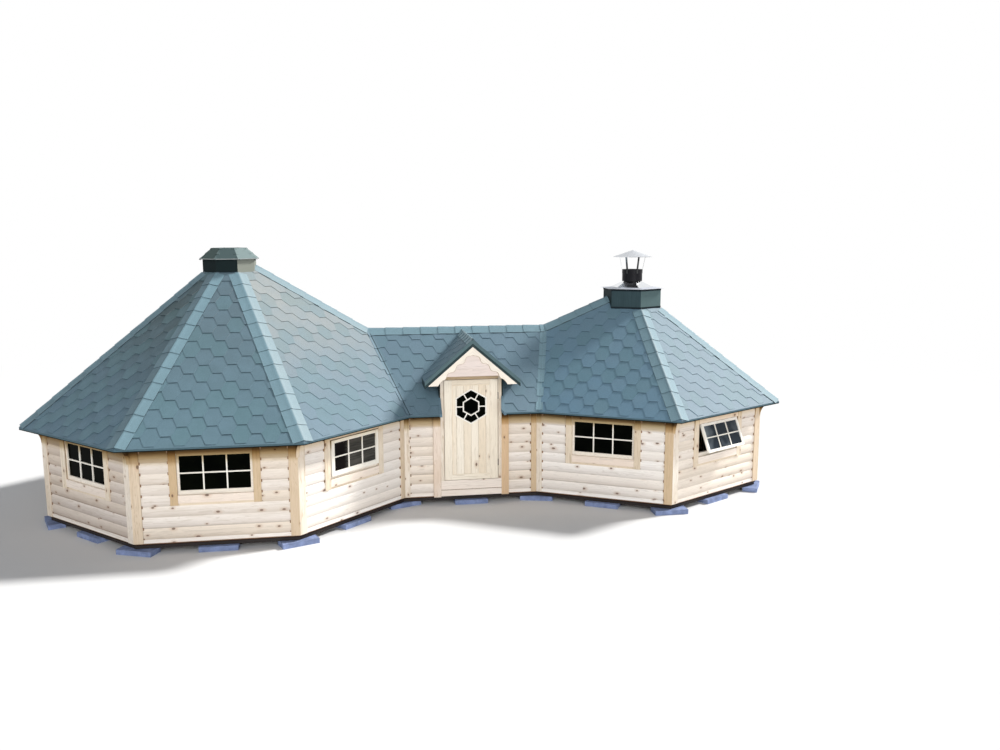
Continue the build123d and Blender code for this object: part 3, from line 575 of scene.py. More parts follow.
wood("frame_pine", (0.88, 0.83, 0.75), (0.84, 0.75, 0.63), boards=False, eaves=True)
wood("cad_pine", (0.80, 0.70, 0.56), (0.72, 0.58, 0.42), boards=False)
# Darker pine for painted shade in grooves, in gaps and behind boards
wood("mid_painted_shade", (0.50, 0.39, 0.28), (0.44, 0.33, 0.22))
wood("dark_painted_shade", (0.30, 0.18, 0.10), (0.22, 0.12, 0.06))
# Near-black: painted shade on the bearers under the floor
wood("bearers_in_painted_shade", (0.018, 0.012, 0.010), (0.012, 0.008, 0.007), boards=False)
sill_wood("sill_pine")

# Shingles and felt. A side's colours are painted light and shade, for how far it turns to the right, low down
# and high up.
slate = (0.100, 0.162, 0.202)
slate_tints = [(0.103, 0.160, 0.201), (0.095, 0.163, 0.197), (0.106, 0.159, 0.205), (0.100, 0.168, 0.202)]
left_low = [(-0.46, (0.070, 0.127, 0.168)), (0.0, (0.086, 0.148, 0.181)), (0.46, (0.100, 0.158, 0.200))]
left_high = [(-0.46, (0.034, 0.060, 0.066)), (0.0, (0.080, 0.123, 0.148)), (0.46, (0.235, 0.253, 0.249))]
right_low = [(-0.33, (0.104, 0.190, 0.258)), (0.33, (0.091, 0.149, 0.193))]
right_high = [(-0.33, (0.104, 0.176, 0.227)), (0.33, (0.116, 0.176, 0.214))]
teal = (0.134, 0.218, 0.256)
teal_side = [(-0.65, (0.062, 0.104, 0.124)), (-0.46, (0.090, 0.148, 0.178)), (-0.34, teal), (0.34, teal),
             (0.46, (0.208, 0.276, 0.302))]
felt_side = [(-0.7, (0.007, 0.012, 0.013)), (0.0, (0.008, 0.015, 0.016)), (0.71, (0.24, 0.253, 0.216))]
cap_side = [(-0.5, (0.032, 0.056, 0.052)), (0.0, (0.046, 0.072, 0.074)), (0.4, (0.14, 0.19, 0.19))]
shingle("slate_shingle", slate, slate_tints, 0.34)
shingle("left_slate", slate, (), 0.34, left_low, left_high)
shingle("right_slate", slate, (), 0.34, right_low, right_high)
shingle("teal_shingle", teal, (), 0.34, teal_side)
shingle("pale_shingle", (0.20, 0.30, 0.34), [(0.19, 0.29, 0.335), (0.21, 0.31, 0.345)], 0.34)
shingle("edge_band", (0.018, 0.036, 0.039), [(0.015, 0.031, 0.034), (0.021, 0.041, 0.044)])
shingle("verge_band", (0.075, 0.125, 0.135), [(0.07, 0.12, 0.13), (0.08, 0.13, 0.14)])
# Near-black felt for the dormer's cheeks: felt colour and painted shade
shingle("felt", (0.014, 0.023, 0.024), [(0.012, 0.021, 0.022), (0.016, 0.025, 0.026)], 0.08)
shingle("cap_wall_felt", (0.014, 0.023, 0.024), (), 0.04, felt_side)
shingle("cap_felt", (0.056, 0.088, 0.090), (), 0.2, cap_side)

# Metal, stone and glass
# Painted light and shade on the collar's sides, by how far each turns to the right
collar_side = [(-1, (0.014, 0.026, 0.028)), (-0.5, (0.034, 0.057, 0.064)), (0.5, (0.088, 0.133, 0.135))]
sheet("collar_sheet", (0.046, 0.076, 0.086), streak=0.08, specular=0.04, sun_side=collar_side)
sheet("painted_shadow_sheet", (0.008, 0.014, 0.018), specular=0.1)
sheet("pipe_sheet", (0.006, 0.006, 0.008), roughness=0.4, specular=0.12)
sheet("rim_sheet", (0.25, 0.27, 0.27), roughness=0.5)
sheet("band_sheet", (0.06, 0.05, 0.05), 0.2, 0.4, specular=0.2)
sheet("hinge_sheet", (0.11, 0.095, 0.085), 0.5, 0.4)
lid_metal("lid_sheet")
rain_metal("rain_sheet", (0.55, 0.57, 0.60), (0.018, 0.020, 0.020))
stone("slab_stone", (0.20, 0.25, 0.41))
pane("window_pane", (0.0005, 0.0008, 0.0005), (0.0015, 0.002, 0.001), 0.01)
pane("sash_pane", (0.012, 0.018, 0.026), (0.13, 0.15, 0.17), 0.12)
glass_with_painted_reflection("painted_reflection_pane")
roof_board("bare_roof")

# Boards on the walls
board_back = 0.0085
board_front = 0.0225


def wall_board(shapes, name, start, end, bottom, top, back=board_back, front=board_front, tint=None,
               level=False):
    """A board on a wall. A top of None ends it under the roof."""
    plan = [on_wall(name, u, out) for u, out in ((start, back), (start, front), (end, front), (end, back))]
    crown = under_roof(name) if top is None else base_z + top
    shapes.post(plan, base_z + bottom, crown, tint, wall_axes(name, upright=not level))


# Log boards: rows with round faces, which pass behind the corner boards and casings
row_pitch = 0.1295
first_row = 0.044
row_bulge = 0.011
row_steps = 12
casing_edge = 0.43
window_foot, window_crown = 0.56, 1.055


def log_board(shapes, name, start, end, bottom, top, line, painted_wall_shade):
    """A row with a rounded face, with painted shade: darker towards its foot, a painted shadow line there on
    some rows, and dimmer over a whole shaded wall.
    """
    shares = [step / row_steps for step in range(row_steps + 1)]
    edges = [painted_wall_shade + 0.36 * (1 - share) + line * max(0.0, 1 - 8 * share) for share in shares]
    points = []
    for along in (end, start):
        for share in shares:
            out = row_bulge * (1 - abs(2 * share - 1) ** 2.3)
            points.append(on_wall(name, along, out, bottom + (top - bottom) * share))
    shapes.add(points, net(2, len(shares)), axes=wall_axes(name), edge=edges * 2, smooth=True)


def wall_spans(name, bottom, top):
    half = faces[name][3] / 2 - 0.02
    if name == "link_front":
        return [(-half, -half_doorway), (half_doorway, half)]
    if name in window_walls and top > window_foot and bottom < window_crown:
        return [(-half, -casing_edge), (casing_edge, half)]
    return [(-half, half)]


def log_walls(title, look, walls):
    shapes = Shapes(title)
    for name in walls:
        # Painted shade that dims the whole front-left wall of the left cabin
        painted_wall_shade = 0.28 if name == "left_outer_front" else 0.0
        wall_top = eave_height - roof_drop + rise * faces[name][4]
        bottom = first_row
        while bottom < wall_top - 0.01:
            top = min(bottom + row_pitch, wall_top)
            # Some rows get a painted shadow line at their foot
            line = random.choice((0.0, 0.0, 0.1, 0.4))
            for start, end in wall_spans(name, bottom, top):
                log_board(shapes, name, start, end, bottom, top, line, painted_wall_shade)
            bottom += row_pitch
        for start, end in wall_spans(name, 0, first_row):
            wall_board(shapes, name, start, end, 0, first_row, 0, 0.009, 0.1, level=True)
    shapes.make(look, "wall_logs")


log_walls("log_boards", "log_pine", [name for name in names if name not in painted_light_walls])
log_walls("log_boards_painted_light", "log_pine_painted_light", painted_light_walls)


def bracket(shapes, name):
    """A bracket that widens upwards, in the plane that halves a corner."""
    foot, reach, curve, half, sunk, seat = 0.95, 0.18, 0.205, 0.022, 0.012, 0.0223
    middle = corner(name, seat)
    way = (outward(name) + outward(before(name))).normalized()
    side = up.cross(way)
    outline = [(-sunk, foot)]
    for turn in [step / 12 * pi / 2 for step in range(13)]:
        outline.append((reach * (1 - cos(turn)), foot + curve * sin(turn)))
    outline += [(reach, None), (-sunk, None)]
    roof = under_roof(name, before(name))
    cheeks = []
    for aside in (-half, half):
        points = [middle + way * out + side * aside for out, height in outline]
        for point, (out, height) in zip(points, outline):
            point.z = roof(point) if height is None else base_z + height
        cheeks.append(points)
    shapes.box(*cheeks, axes=(up, way, side))


# Corner boards. A corner's pale board is on the wall that starts there, but for one.
posts = Shapes("corner_posts")
for name in names:
    width = 0.08 if name in inner_corners else 0.1
    for wall, sign in ((before(name), -1), (name, 1)):
        edge = sign * (width - faces[wall][3] / 2)
        plan = [corner(name, board_back), corner(name, board_front)]
        plan += [on_wall(wall, edge, board_front), on_wall(wall, edge, board_back)]
        pale = (sign == 1) != (name == "left_front")
        tint = random.uniform(0.0, 0.15) if pale else random.uniform(0.55, 0.95)
        posts.post(plan, base_z, under_roof(wall), tint, wall_axes(wall, upright=True))
    if name not in inner_corners:
        bracket(posts, name)
posts.make("post_pine", "corner_timber", ("left_corner_boards", "right_corner_boards"), 0.0025)

# Painted shade: dark plates behind the boards' edges, seen where the rows' grooves pass under them
casing_back, back_foot = 0.527, 0.445
back_depths = (0.0005, 0.0055)
backs = Shapes("painted_shade_backs")
for name in names:
    half = faces[name][3] / 2
    spots = []
    for side, post in ((-1, name), (1, after(name))):
        width = 0.096 if post in inner_corners else 0.113
        spots.append((*sorted((side * (half - width), side * (half - 0.02))), 0.01))
    if name in window_walls:
        spots += [(-casing_back, -casing_edge, back_foot), (casing_edge, casing_back, back_foot)]
    for start, end, foot in spots:
        wall_board(backs, name, start, end, foot, None, *back_depths)
backs.make("dark_painted_shade", "wall_logs")

# Windows: casing boards and rails
casing_width = 0.088
frame_half = 0.4258
casing_foot, rail_foot, rail_top = 0.44, 0.465, 0.559
side_casings, rails = Shapes("casing_boards"), Shapes("casing_rails")
for name in window_walls:
    for side in (-1, 1):
        start, end = sorted((side * frame_half, side * (frame_half + casing_width)))
        tint = random.uniform(0.8, 1.0) if name == "left_front" else random.uniform(0.1, 0.35)
        wall_board(side_casings, name, start, end, casing_foot, None, front=board_front + 0.001, tint=tint)
    head = 1.012 if name == open_wall else 1.056
    for foot, top in ((rail_foot, rail_top), (head, None)):
        wall_board(rails, name, -frame_half, frame_half, foot, top, 0.0005, level=True)
side_casings.make("casing_pine", "casing_timber", ("window_casings",), 0.0025)
rails.make("rail_pine", "casing_timber", bevel=0.0025)

# Glazing bars
glass_half_width, glass_half_height = 0.3975, 0.205
glass_middle = 0.815
bar_width = 0.0158


def glazing_bars(shapes, start, axes, width, height, depth):
    """Two upright bars and one level bar, from a corner of the panes, along, up and outwards."""
    along, upwards, outwards = axes
    half = bar_width / 2
    places = [(width * share - half, width * share + half, 0, height, depth) for share in (1 / 3, 2 / 3)]
    places.append((0, width, height / 2 - half, height / 2 + half, depth - 0.001))
    for near, far, low, high, deep in places:
        ring = [start + along * u + outwards * w for u, w in ((near, 0), (near, deep), (far, deep), (far, 0))]
        ends = [[point + upwards * height for point in ring] for height in (low, high)]
        shapes.box(*ends, 0.2, (upwards, along, outwards) if near else axes)


bars = Shapes("window_bars")
for name in window_walls:
    if name != open_wall and name not in sash_walls:
        start = on_wall(name, -glass_half_width, -0.022, glass_middle - glass_half_height)
        glazing_bars(bars, start, wall_axes(name), 2 * glass_half_width, 2 * glass_half_height, 0.016)

# The open sash, hung outwards from the head of its frame
tilt = radians(22.5)
sash_half_width, sash_height, sash_member, sash_head = 0.3545, 0.325, 0.035, 0.998
sash_up = up * cos(tilt) - outward(open_wall) * sin(tilt)
sash_out = up * sin(tilt) + outward(open_wall) * cos(tilt)
start = on_wall(open_wall, -sash_half_width, -0.0037, sash_head)
start += sash_out * 0.018 - sash_up * (sash_member + sash_height)
glazing_bars(bars, start, (sideways(open_wall), sash_up, sash_out), 2 * sash_half_width, sash_height, 0.01)
bars.make("window_pine", "window_timber", bevel=0.0015)

# Two shut sashes that stand in front of their frames, with their panes and dark strips round them as painted
# shade
sashes, panes, sash_shade_strips = Shapes("shut_sashes"), Shapes("shut_sash_panes"), Shapes("shut_sash_shade_strips")
half, pane_half = 0.412, 0.362
foot, pane_foot, pane_top, top = 0.598, 0.656, 1.009, 1.05
sash_back, sash_front, rail_front = -0.0035, 0.034, 0.0335
pane_back, pane_front = 0.018, 0.0215
shade_edge, shade_foot, shade_gap = 0.4255, 0.588, 0.0005
for name in sash_walls:
    for start, end in ((-half, -pane_half), (pane_half, half)):
        wall_board(sashes, name, start, end, foot, top, sash_back, sash_front, 0.1)
    for bottom, crown in ((foot, pane_foot), (pane_top, top)):
        wall_board(sashes, name, -pane_half, pane_half, bottom, crown, sash_back, rail_front, 0.1, level=True)
    start = on_wall(name, -pane_half, pane_front, pane_foot)
    glazing_bars(sashes, start, wall_axes(name), 2 * pane_half, pane_top - pane_foot, 0.011)
    wall_board(panes, name, -pane_half, pane_half, pane_foot, pane_top, pane_back, pane_front)
    for start, end in ((-shade_edge, -half - shade_gap), (half + shade_gap, shade_edge)):
        wall_board(sash_shade_strips, name, start, end, shade_foot, top + 0.005, sash_back, 0.001)
    wall_board(sash_shade_strips, name, -half, half, shade_foot + 0.001, foot - shade_gap, sash_back, 0.008)
sashes.make("window_pine", "window_timber", bevel=0.0015)
panes.make("painted_reflection_pane", "pane")
sash_shade_strips.make("dark_painted_shade", "window_timber")

# Roof shingles: six-sided tabs in overlapping courses
tab_pitch = 1 / 3
course = 0.133
first_course = 0.03
tab_side = tab_pitch / 3
tab_thickness = 0.0065
lap_lift = 0.004
top_lift = 0.013


def clipped(polygon, fence):
    """The part of a convex polygon inside a convex fence that runs anticlockwise."""
    for index in range(len(fence)):
        (ax, ay), (bx, by) = fence[index - 1], fence[index]
        kept = []
        for number in range(len(polygon)):
            p, q = polygon[number - 1], polygon[number]
            p_in, q_in = [(bx - ax) * (y - ay) - (by - ay) * (x - ax) for x, y in (p, q)]
            if (p_in >= 0) != (q_in >= 0):
                share = p_in / (p_in - q_in)
                kept.append((p[0] + (q[0] - p[0]) * share, p[1] + (q[1] - p[1]) * share))
            if q_in >= 0:
                kept.append(q)
        polygon = kept
        if len(polygon) < 3:
            return []
    return polygon


def area(polygon):
    return sum(p[0] * q[1] - q[0] * p[1] for p, q in zip(polygon, polygon[1:] + polygon[:1])) / 2


def shingled(shapes, outline, origin, across, upwards):
    """Covers a convex outline with courses of tabs that start at its eave."""
    normal = across.cross(upwards)
    fence = [((point - origin).dot(across), (point - origin).dot(upwards)) for point in outline]
    if area(fence) < 0:
        fence.reverse()
    widest = max(abs(u) for u, v in fence) + tab_pitch
    highest = max(v for u, v in fence)
    s, e = tab_side, course

    def lay(polygon, bottom, tint, lift, level=0.7):
        polygon = clipped(polygon, fence)
        if not polygon or abs(area(polygon)) < 2e-5:
            return
        tops = []
        for u, v in polygon:
            height = lift - lap_lift / course * max(0, v - bottom)
            tops.append(origin + across * u + upwards * v + normal * height)
        feet = [point - normal * tab_thickness for point in tops]
        count = len(tops)
        axes = (across, upwards, normal)
        shapes.add(tops, [tuple(range(count))], tint, axes)
        for i in range(count):
            j = (i + 1) % count
            # Painted shadow: level lower edges get much more of it than slanted sides
            dark = level if abs(polygon[i][1] - polygon[j][1]) < 0.01 else 0.14
            shapes.add([tops[i], feet[i], feet[j], tops[j]], [(0, 1, 2, 3)], tint, axes, dark)

    strip_top = first_course + course + 0.02
    strip = [(-widest, 0.004), (widest, 0.004), (widest, strip_top), (-widest, strip_top)]
    lay(strip, 0.0, 0.5, top_lift - lap_lift, level=0.1)
    row = 0
    while first_course + row * e < highest:
        bottom = first_course + row * e
        middle = (row % 2) * tab_pitch / 2 - tab_pitch * int(widest / tab_pitch + 1)
        while middle < widest:
            u, v = middle + random.uniform(-0.0015, 0.0015), bottom + random.uniform(-0.002, 0.002)
            tab = [(u - s / 2, v), (u + s / 2, v), (u + s, v + e), (u + s + 0.004, v + 2 * e + 0.01)]
            tab += [(u - s - 0.004, v + 2 * e + 0.01), (u - s, v + e)]
            lay(tab, bottom, random.random(), top_lift + random.uniform(-0.0007, 0.0007))
            middle += tab_pitch
        row += 1


left_run = (octagon_reach + eave_overhang - link_eave) / cos(radians(45))
right_run = (hexagon_reach + eave_overhang - link_eave) / cos(radians(60))
left_ridge, right_ridge = right * (left_x + left_run), right * (right_x - right_run)
left_hub, right_hub = right * (left_x + left_hub_reach), right * (right_x - right_hub_reach)
doorway_shingles = -0.6


def slope_plan(name):
    """A roof slope's outline in plan."""
    plan = [eave_corner(name), eave_corner(after(name))]
    if name == "link_front":
        return plan + [right_ridge, left_ridge]
    if name == "link_back":
        return plan + [left_ridge, right_ridge]
    reach, hub, ridge = right_hub_reach, right_hub, right_ridge
    if name in left_walls:
        reach, hub, ridge = left_hub_reach, left_hub, left_ridge
    if name in ("left_inner_front", "right_inner_back"):
        return plan + [ridge, hub, hub_corner(name, reach)]
    if name in ("left_inner_back", "right_inner_front"):
        return plan + [hub_corner(after(name), reach), hub, ridge]
    return plan + [hub_corner(after(name), reach), hub_corner(name, reach)]


def roof_shingles(title, slopes):
    shapes = Shapes(title)
    for name in slopes:
        plans = [slope_plan(name)]
        if name == "link_front":
            near, inner, back = [[Vector((link_x + side * half_doorway, y, 0)) for side in (-1, 1)]
                                 for y in (-link_eave, doorway_shingles, 0)]
            first, second = plans[0][:2]
            plans = [[first, near[0], back[0], left_ridge], [near[1], second, right_ridge, back[1]]]
            plans.append([*inner, back[1], back[0]])
        x, reach, turn, length, overhang = faces[name]
        origin = Vector((x, 0, eave_z)) + outward(name) * (reach + overhang)
        for plan in plans:
            shingled(shapes, [on_roof(name, point) for point in plan], origin, sideways(name), slope_up(name))
    return shapes


# The dormer over the door, whose points have x from the middle of the link
dormer_low, dormer_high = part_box("dormer_roof")
dormer_half = (dormer_high.x - dormer_low.x) / 2
dormer_reach = (dormer_high.z - eave_z) / rise - link_eave
dormer_crown = dormer_high.z - dormer_thickness / cos(roof_pitch) - clearance


def dormer_top(x, y):
    return Vector((link_x + x, y, dormer_high.z - rise * abs(x)))


covers = roof_shingles("roof_shingles", ["link_front", "link_back"])
for side in (-1, 1):
    edge = side * dormer_half
    outline = [dormer_top(0, -link_eave), dormer_top(edge, -link_eave)]
    outline += [dormer_top(edge, dormer_reach - dormer_half), dormer_top(0, dormer_reach)]
    upwards = up * sin(roof_pitch) - right * side * cos(roof_pitch)
    shingled(covers, outline, dormer_top(edge, 0), -front * side, upwards)
covers.make("slate_shingle", "shingles")
roof_shingles("left_shingles", left_walls).make("left_slate", "shingles")
roof_shingles("right_shingles", right_walls).make("right_slate", "shingles")

# Caps over the hips, ridges and valleys: bent strips that overlap like the tabs
cap_exposure = 0.2475
cap_lap = 0.07
cap_half_width = 0.122
cap_lift = 0.021
cap_depth = 0.009


def across_slope(name, along, way):
    """The direction in a roof slope that is square to a line in it, and goes with the given way."""
    return turned(slope_normal(name).cross(along), way).normalized()


def cap_strip(shapes, low, high, ways, half_width, lift, exposure=cap_exposure, crown=0.006, start=0.0):
    """Lays caps from the low end to the high one. The two ways run from the line into its two slopes."""
    length, along = (high - low).length, (high - low).normalized()
    normals = [turned(along.cross(way), up) for way in ways]
    middle = (normals[0] + normals[1]).normalized()
    profile = [(0, 1), (0, 0.55), (0, 0.14), (1, 0.14), (1, 0.55), (1, 1)]

    def ring(place, height):
        centre = low + along * place
        points = [centre + ways[i] * half_width * share + normals[i] * (height - 0.002 * share)
                  for i, share in profile]
        points.insert(3, centre + middle * (height + crown))
        return points

    place = start
    while place < length - 0.02:
        end = min(place + exposure + cap_lap, length)
        lower = ring(place + random.uniform(-0.003, 0.003), lift)
        upper = ring(end, lift - 0.0065 * (end - place) / exposure)
        count = len(lower)
        axes = (along, ways[0], middle)
        tint = random.random()
        shapes.add(lower + upper, net(2, count), tint, axes, smooth=True)
        sunk = middle * cap_depth
        # The cap's sunk lip and its skirts carry painted shadow
        shapes.add([point - sunk for point in lower] + lower, net(2, count), tint, axes, 0.7)
        for edge in (0, count - 1):
            skirt = [lower[edge], upper[edge], upper[edge] - sunk, lower[edge] - sunk]
            shapes.add(skirt, [(0, 1, 2, 3)], tint, axes, 1.0)
        place += exposure


caps = Shapes("hip_caps")
for name in names:
    if name not in inner_corners:
        hub = hub_corner(name, (cap_reach if name in left_walls else collar_reach) + 0.004)
        low, high = on_roof(name, eave_corner(name)), on_roof(name, hub)
        along, other = (high - low).normalized(), before(name)
        ways = [across_slope(name, along, sideways(name)), across_slope(other, along, -sideways(other))]
        cap_strip(caps, low, high, ways, cap_half_width, cap_lift, start=0.03)
left_end = left_hub + right * (cap_reach - left_hub_reach + 0.004)
right_end = right_hub - right * (collar_reach - right_hub_reach + 0.004)
for wall, start, end in (("link", left_ridge, right_ridge), ("left_inner", left_ridge, left_end),
                         ("right_inner", right_ridge, right_end)):
    low, high = on_roof(wall + "_front", start), on_roof(wall + "_front", end)
    along = (high - low).normalized()
    ways = [across_slope(wall + "_front", along, front), across_slope(wall + "_back", along, -front)]
    cap_strip(caps, low, high, ways, cap_half_width, cap_lift)
caps.make("teal_shingle", "shingles")

dormer_caps = Shapes("dormer_caps")
ways = [right * side * cos(roof_pitch) - up * sin(roof_pitch) for side in (-1, 1)]
low, high = dormer_top(0, -link_eave - 0.003), dormer_top(0, dormer_reach + 0.02)
cap_strip(dormer_caps, low, high, ways, 0.09, cap_lift, exposure=0.19, crown=0.02)
dormer_caps.make("pale_shingle", "shingles")

# Valley strips, by the walls that start at their feet. The left valleys' thin dark lines are painted shade in
# the crease.
left_valleys, right_valleys = ["link_front", "left_inner_back"], ["right_inner_front", "link_back"]
for title, look, valleys, ridge, half_width, lift in (
        ("left_valley_strips", "slate_shingle", left_valleys, left_ridge, 0.05, 0.0175),
        ("left_valley_lines", "edge_band", left_valleys, left_ridge, 0.009, 0.0195),
        ("right_valley_strips", "teal_shingle", right_valleys, right_ridge, 0.05, 0.0175)):
    strips = Shapes(title)
    for name in valleys:
        low, high = on_roof(name, eave_corner(name)), on_roof(name, ridge)
        ways = [across_slope(wall, (high - low).normalized(), up) for wall in (before(name), name)]
        cap_strip(strips, low, high, ways, half_width, lift, crown=0.002, start=0.02)
    strips.make(look, "shingles")

# Door, its frame and the boards beside it
stile_width, rail_width, plank_width, bead = 0.104, 0.068, 0.1, 0.011
plank_sunk = 0.005
clear_half = 0.3705
frame_stop = 0.018
threshold_step = 0.09


def link_block(shapes, x_low, x_high, y_low, y_high, bottom, top, tint=None, upright=True):
    """A board, with x counted from the middle of the link and heights from the wall base."""
    plan = [(link_x + x, y) for x, y in ((x_low, y_low), (x_high, y_low), (x_high, y_high), (x_low, y_high))]
    axes = (up, right, front) if upright else (right, up, front)
    shapes.post(plan, base_z + bottom, base_z + top, tint, axes)


def front_plate(shapes, outline, y_low, y_high, tint=None, axes=(right, up, front)):
    """A plate whose outline is seen from the front, with x from the middle of the link and real heights."""
    shapes.box(*[[Vector((link_x + x, y, z)) for x, z in outline] for y in (y_low, y_high)], tint, axes)


leaf, grooves = Shapes("door_boards"), Shapes("door_grooves")
half = (door_high.x - door_low.x) / 2
inner = half - stile_width
near, far = door_low.y, door_high.y
foot, top = door_low.z - base_z, door_high.z - base_z
low_edge, high_edge = foot + rail_width, top - rail_width
for start in (-half, inner):
    link_block(leaf, start, start + stile_width, near, far, foot, top)
for start in (foot, high_edge):
    link_block(leaf, -inner, inner, near, far, start, start + rail_width, upright=False)
bead_near, bead_far = near - 0.0012, near + 0.008
for start in (-inner, inner - bead):
    link_block(leaf, start, start + bead, bead_near, bead_far, low_edge, high_edge)
for start in (low_edge, high_edge - bead):
    link_block(leaf, bead - inner, inner - bead, bead_near, bead_far, start, start + bead, upright=False)
# The grooves' plate behind the planks is darker, as painted shade in the grooves
for start, end in ((low_edge, door_glass_middle - door_radius - 0.012),
                   (door_glass_middle + door_radius + 0.012, high_edge)):
    link_block(grooves, -inner, inner, near + plank_sunk + 0.004, far - plank_sunk - 0.004, start, end)
edges = [-inner] + [plank_width * step for step in range(-2, 3)] + [inner]
low, high, middle = base_z + low_edge, base_z + high_edge, base_z + door_glass_middle
for start, end, tint in zip(edges, edges[1:], (0.45, 0.0, 0.6, 0.15, 0.9, 0.3)):
    start, end = start + 0.0013, end - 0.0013
    heights = [(low, low, high, high)]
    if max(abs(start), abs(end)) < 0.21:
        first, second = [door_radius - abs(x) * tan(pi / 6) for x in (start, end)]
        heights = [(low, low, middle - second, middle - first), (middle + first, middle + second, high, high)]
    for four in heights:
        outline = list(zip((start, end, end, start), four))
        front_plate(leaf, outline, near + plank_sunk, far - plank_sunk, tint, (up, right, front))
leaf.make("door_pine", "door_timber", ("door_leaf",), 0.0018, body="door")
grooves.make("mid_painted_shade", "door_timber", body="door")


def hexagon(radius):
    """A six-sided outline that stands on a corner, seen from the front."""
    turns = [radians(30 + 60 * number) for number in range(6)]
    return [(radius * cos(turn), middle + radius * sin(turn)) for turn in turns]


# The door's window: two six-sided rings and six spokes, on both sides of the pane
bars = Shapes("door_window_bars")
glass_low, glass_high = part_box("door_glass")
ring_apothem = 0.1045
spoke_end, spoke_half = 0.2, 0.007
inner_radius = ring_apothem / cos(pi / 6)
rings = ((door_radius - 0.009, door_radius + 0.011), (inner_radius - 0.009, inner_radius + 0.009))
for near, far in ((door_low.y - 0.001, glass_low.y), (glass_high.y, door_high.y)):
    for small, large in rings:
        first, second = hexagon(small), hexagon(large)
        for number in range(6):
            outline = [first[number - 1], second[number - 1], second[number], first[number]]
            front_plate(bars, outline, near, far, 0.1)
    for number in range(6):
        way = direction(60 * number)
        side = up.cross(way)
        spoke = [way * length + side * width for length, width in (
            (ring_apothem, -spoke_half), (spoke_end, -spoke_half),
            (spoke_end, spoke_half), (ring_apothem, spoke_half))]
        front_plate(bars, [(point.x, middle + point.y) for point in spoke], near + 0.001, far, 0.1)
bars.make("bar_pine", "door_timber", body="door")

surround = Shapes("door_surround")
half, stop = (frame_high.x - frame_low.x) / 2, clear_half - clearance
near, far = frame_low.y, frame_high.y
foot, top = frame_low.z - base_z, frame_high.z - base_z
head = door_high.z - base_z + 0.007
for start, end, tint in ((-half, -clear_half, 0.15), (clear_half, half, 0.25)):
    link_block(surround, start, end, near, far, foot, top, tint)
# The head takes the warmest tint, as painted shade under the gable
link_block(surround, -stop, stop, near, far, head, top, 1.0, upright=False)
for start in (-stop, stop - frame_stop):
    link_block(surround, start, start + frame_stop, door_high.y + 0.005, far, foot, head)
surround.make("surround_pine", "door_timber", ("door_frame",), 0.002)

# The dark strip in the threshold's step is painted shade
steps, line = Shapes("threshold_boards"), Shapes("threshold_shade_line")
threshold_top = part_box("door_threshold")[1].z - base_z
link_block(steps, -half, half, near, far, 0, threshold_step - 0.007, 0.1, upright=False)
link_block(steps, -half, half, near + 0.004, far, threshold_step, threshold_top, 0.2, upright=False)
link_block(line, 0.001 - half, half - 0.001, near + 0.012, far, threshold_step - 0.007, threshold_step)
steps.make("rail_pine", "door_timber", ("door_threshold",), 0.003)
line.make("dark_painted_shade", "door_timber")

side_boards = Shapes("door_side_panels")
side_width, side_foot, side_front = 0.1, -0.012, 0.0453
for start, tint in ((-half_doorway - side_width, 0.0), (half_doorway, 1.0)):
    end = start + side_width
    wall_board(side_boards, "link_front", start, end, side_foot, None, clearance, side_front, tint)
side_boards.make("side_pine", "door_timber", ("door_side_boards",), 0.002)

# The dormer's walls and gable
# The cheeks' felt is near-black: felt, darkened as painted shade under the dormer's eaves
cheeks = Shapes("dormer_cheeks")
cheek_thickness, cheek_back = 0.018, -0.5
for side in (-1, 1):
    inner, outer = [link_x + side * (half_doorway + clearance + out) for out in (0, cheek_thickness)]
    plan = [(inner, frame_low.y), (outer, frame_low.y), (outer, cheek_back), (inner, cheek_back)]
    cheeks.post(plan, lambda point: roof_height("link_front", point) + clearance,
                lambda point: dormer_crown - rise * abs(point[0] - link_x), 0.5, (-front, up, right))
cheeks.make("felt", "shingles", ("dormer_walls",))

over_door = Shapes("over_door_board")
outline = [(-half, frame_high.z + clearance), (half, frame_high.z + clearance)]
outline += [(half, dormer_crown - rise * half), (0, dormer_crown), (-half, dormer_crown - rise * half)]
front_plate(over_door, outline, frame_low.y, -link_reach - clearance)
over_door.make("barge_pine", "casing_timber")

gable = Shapes("gable_boards")
panel_low, panel_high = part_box("gable_panel")
half = (dormer_crown - panel_low.z) / rise
fence = [(-half, panel_low.z), (half, panel_low.z), (0, dormer_crown)]
height = 0.104
row = panel_low.z
while row < dormer_crown - 0.02:
    outline = clipped([(-half, row), (half, row), (half, row + height), (-half, row + height)], fence)
    front_plate(gable, outline, panel_low.y, panel_high.y)
    row += height
gable.make("gable_pine", "casing_timber", ("gable_panel",), 0.0025)


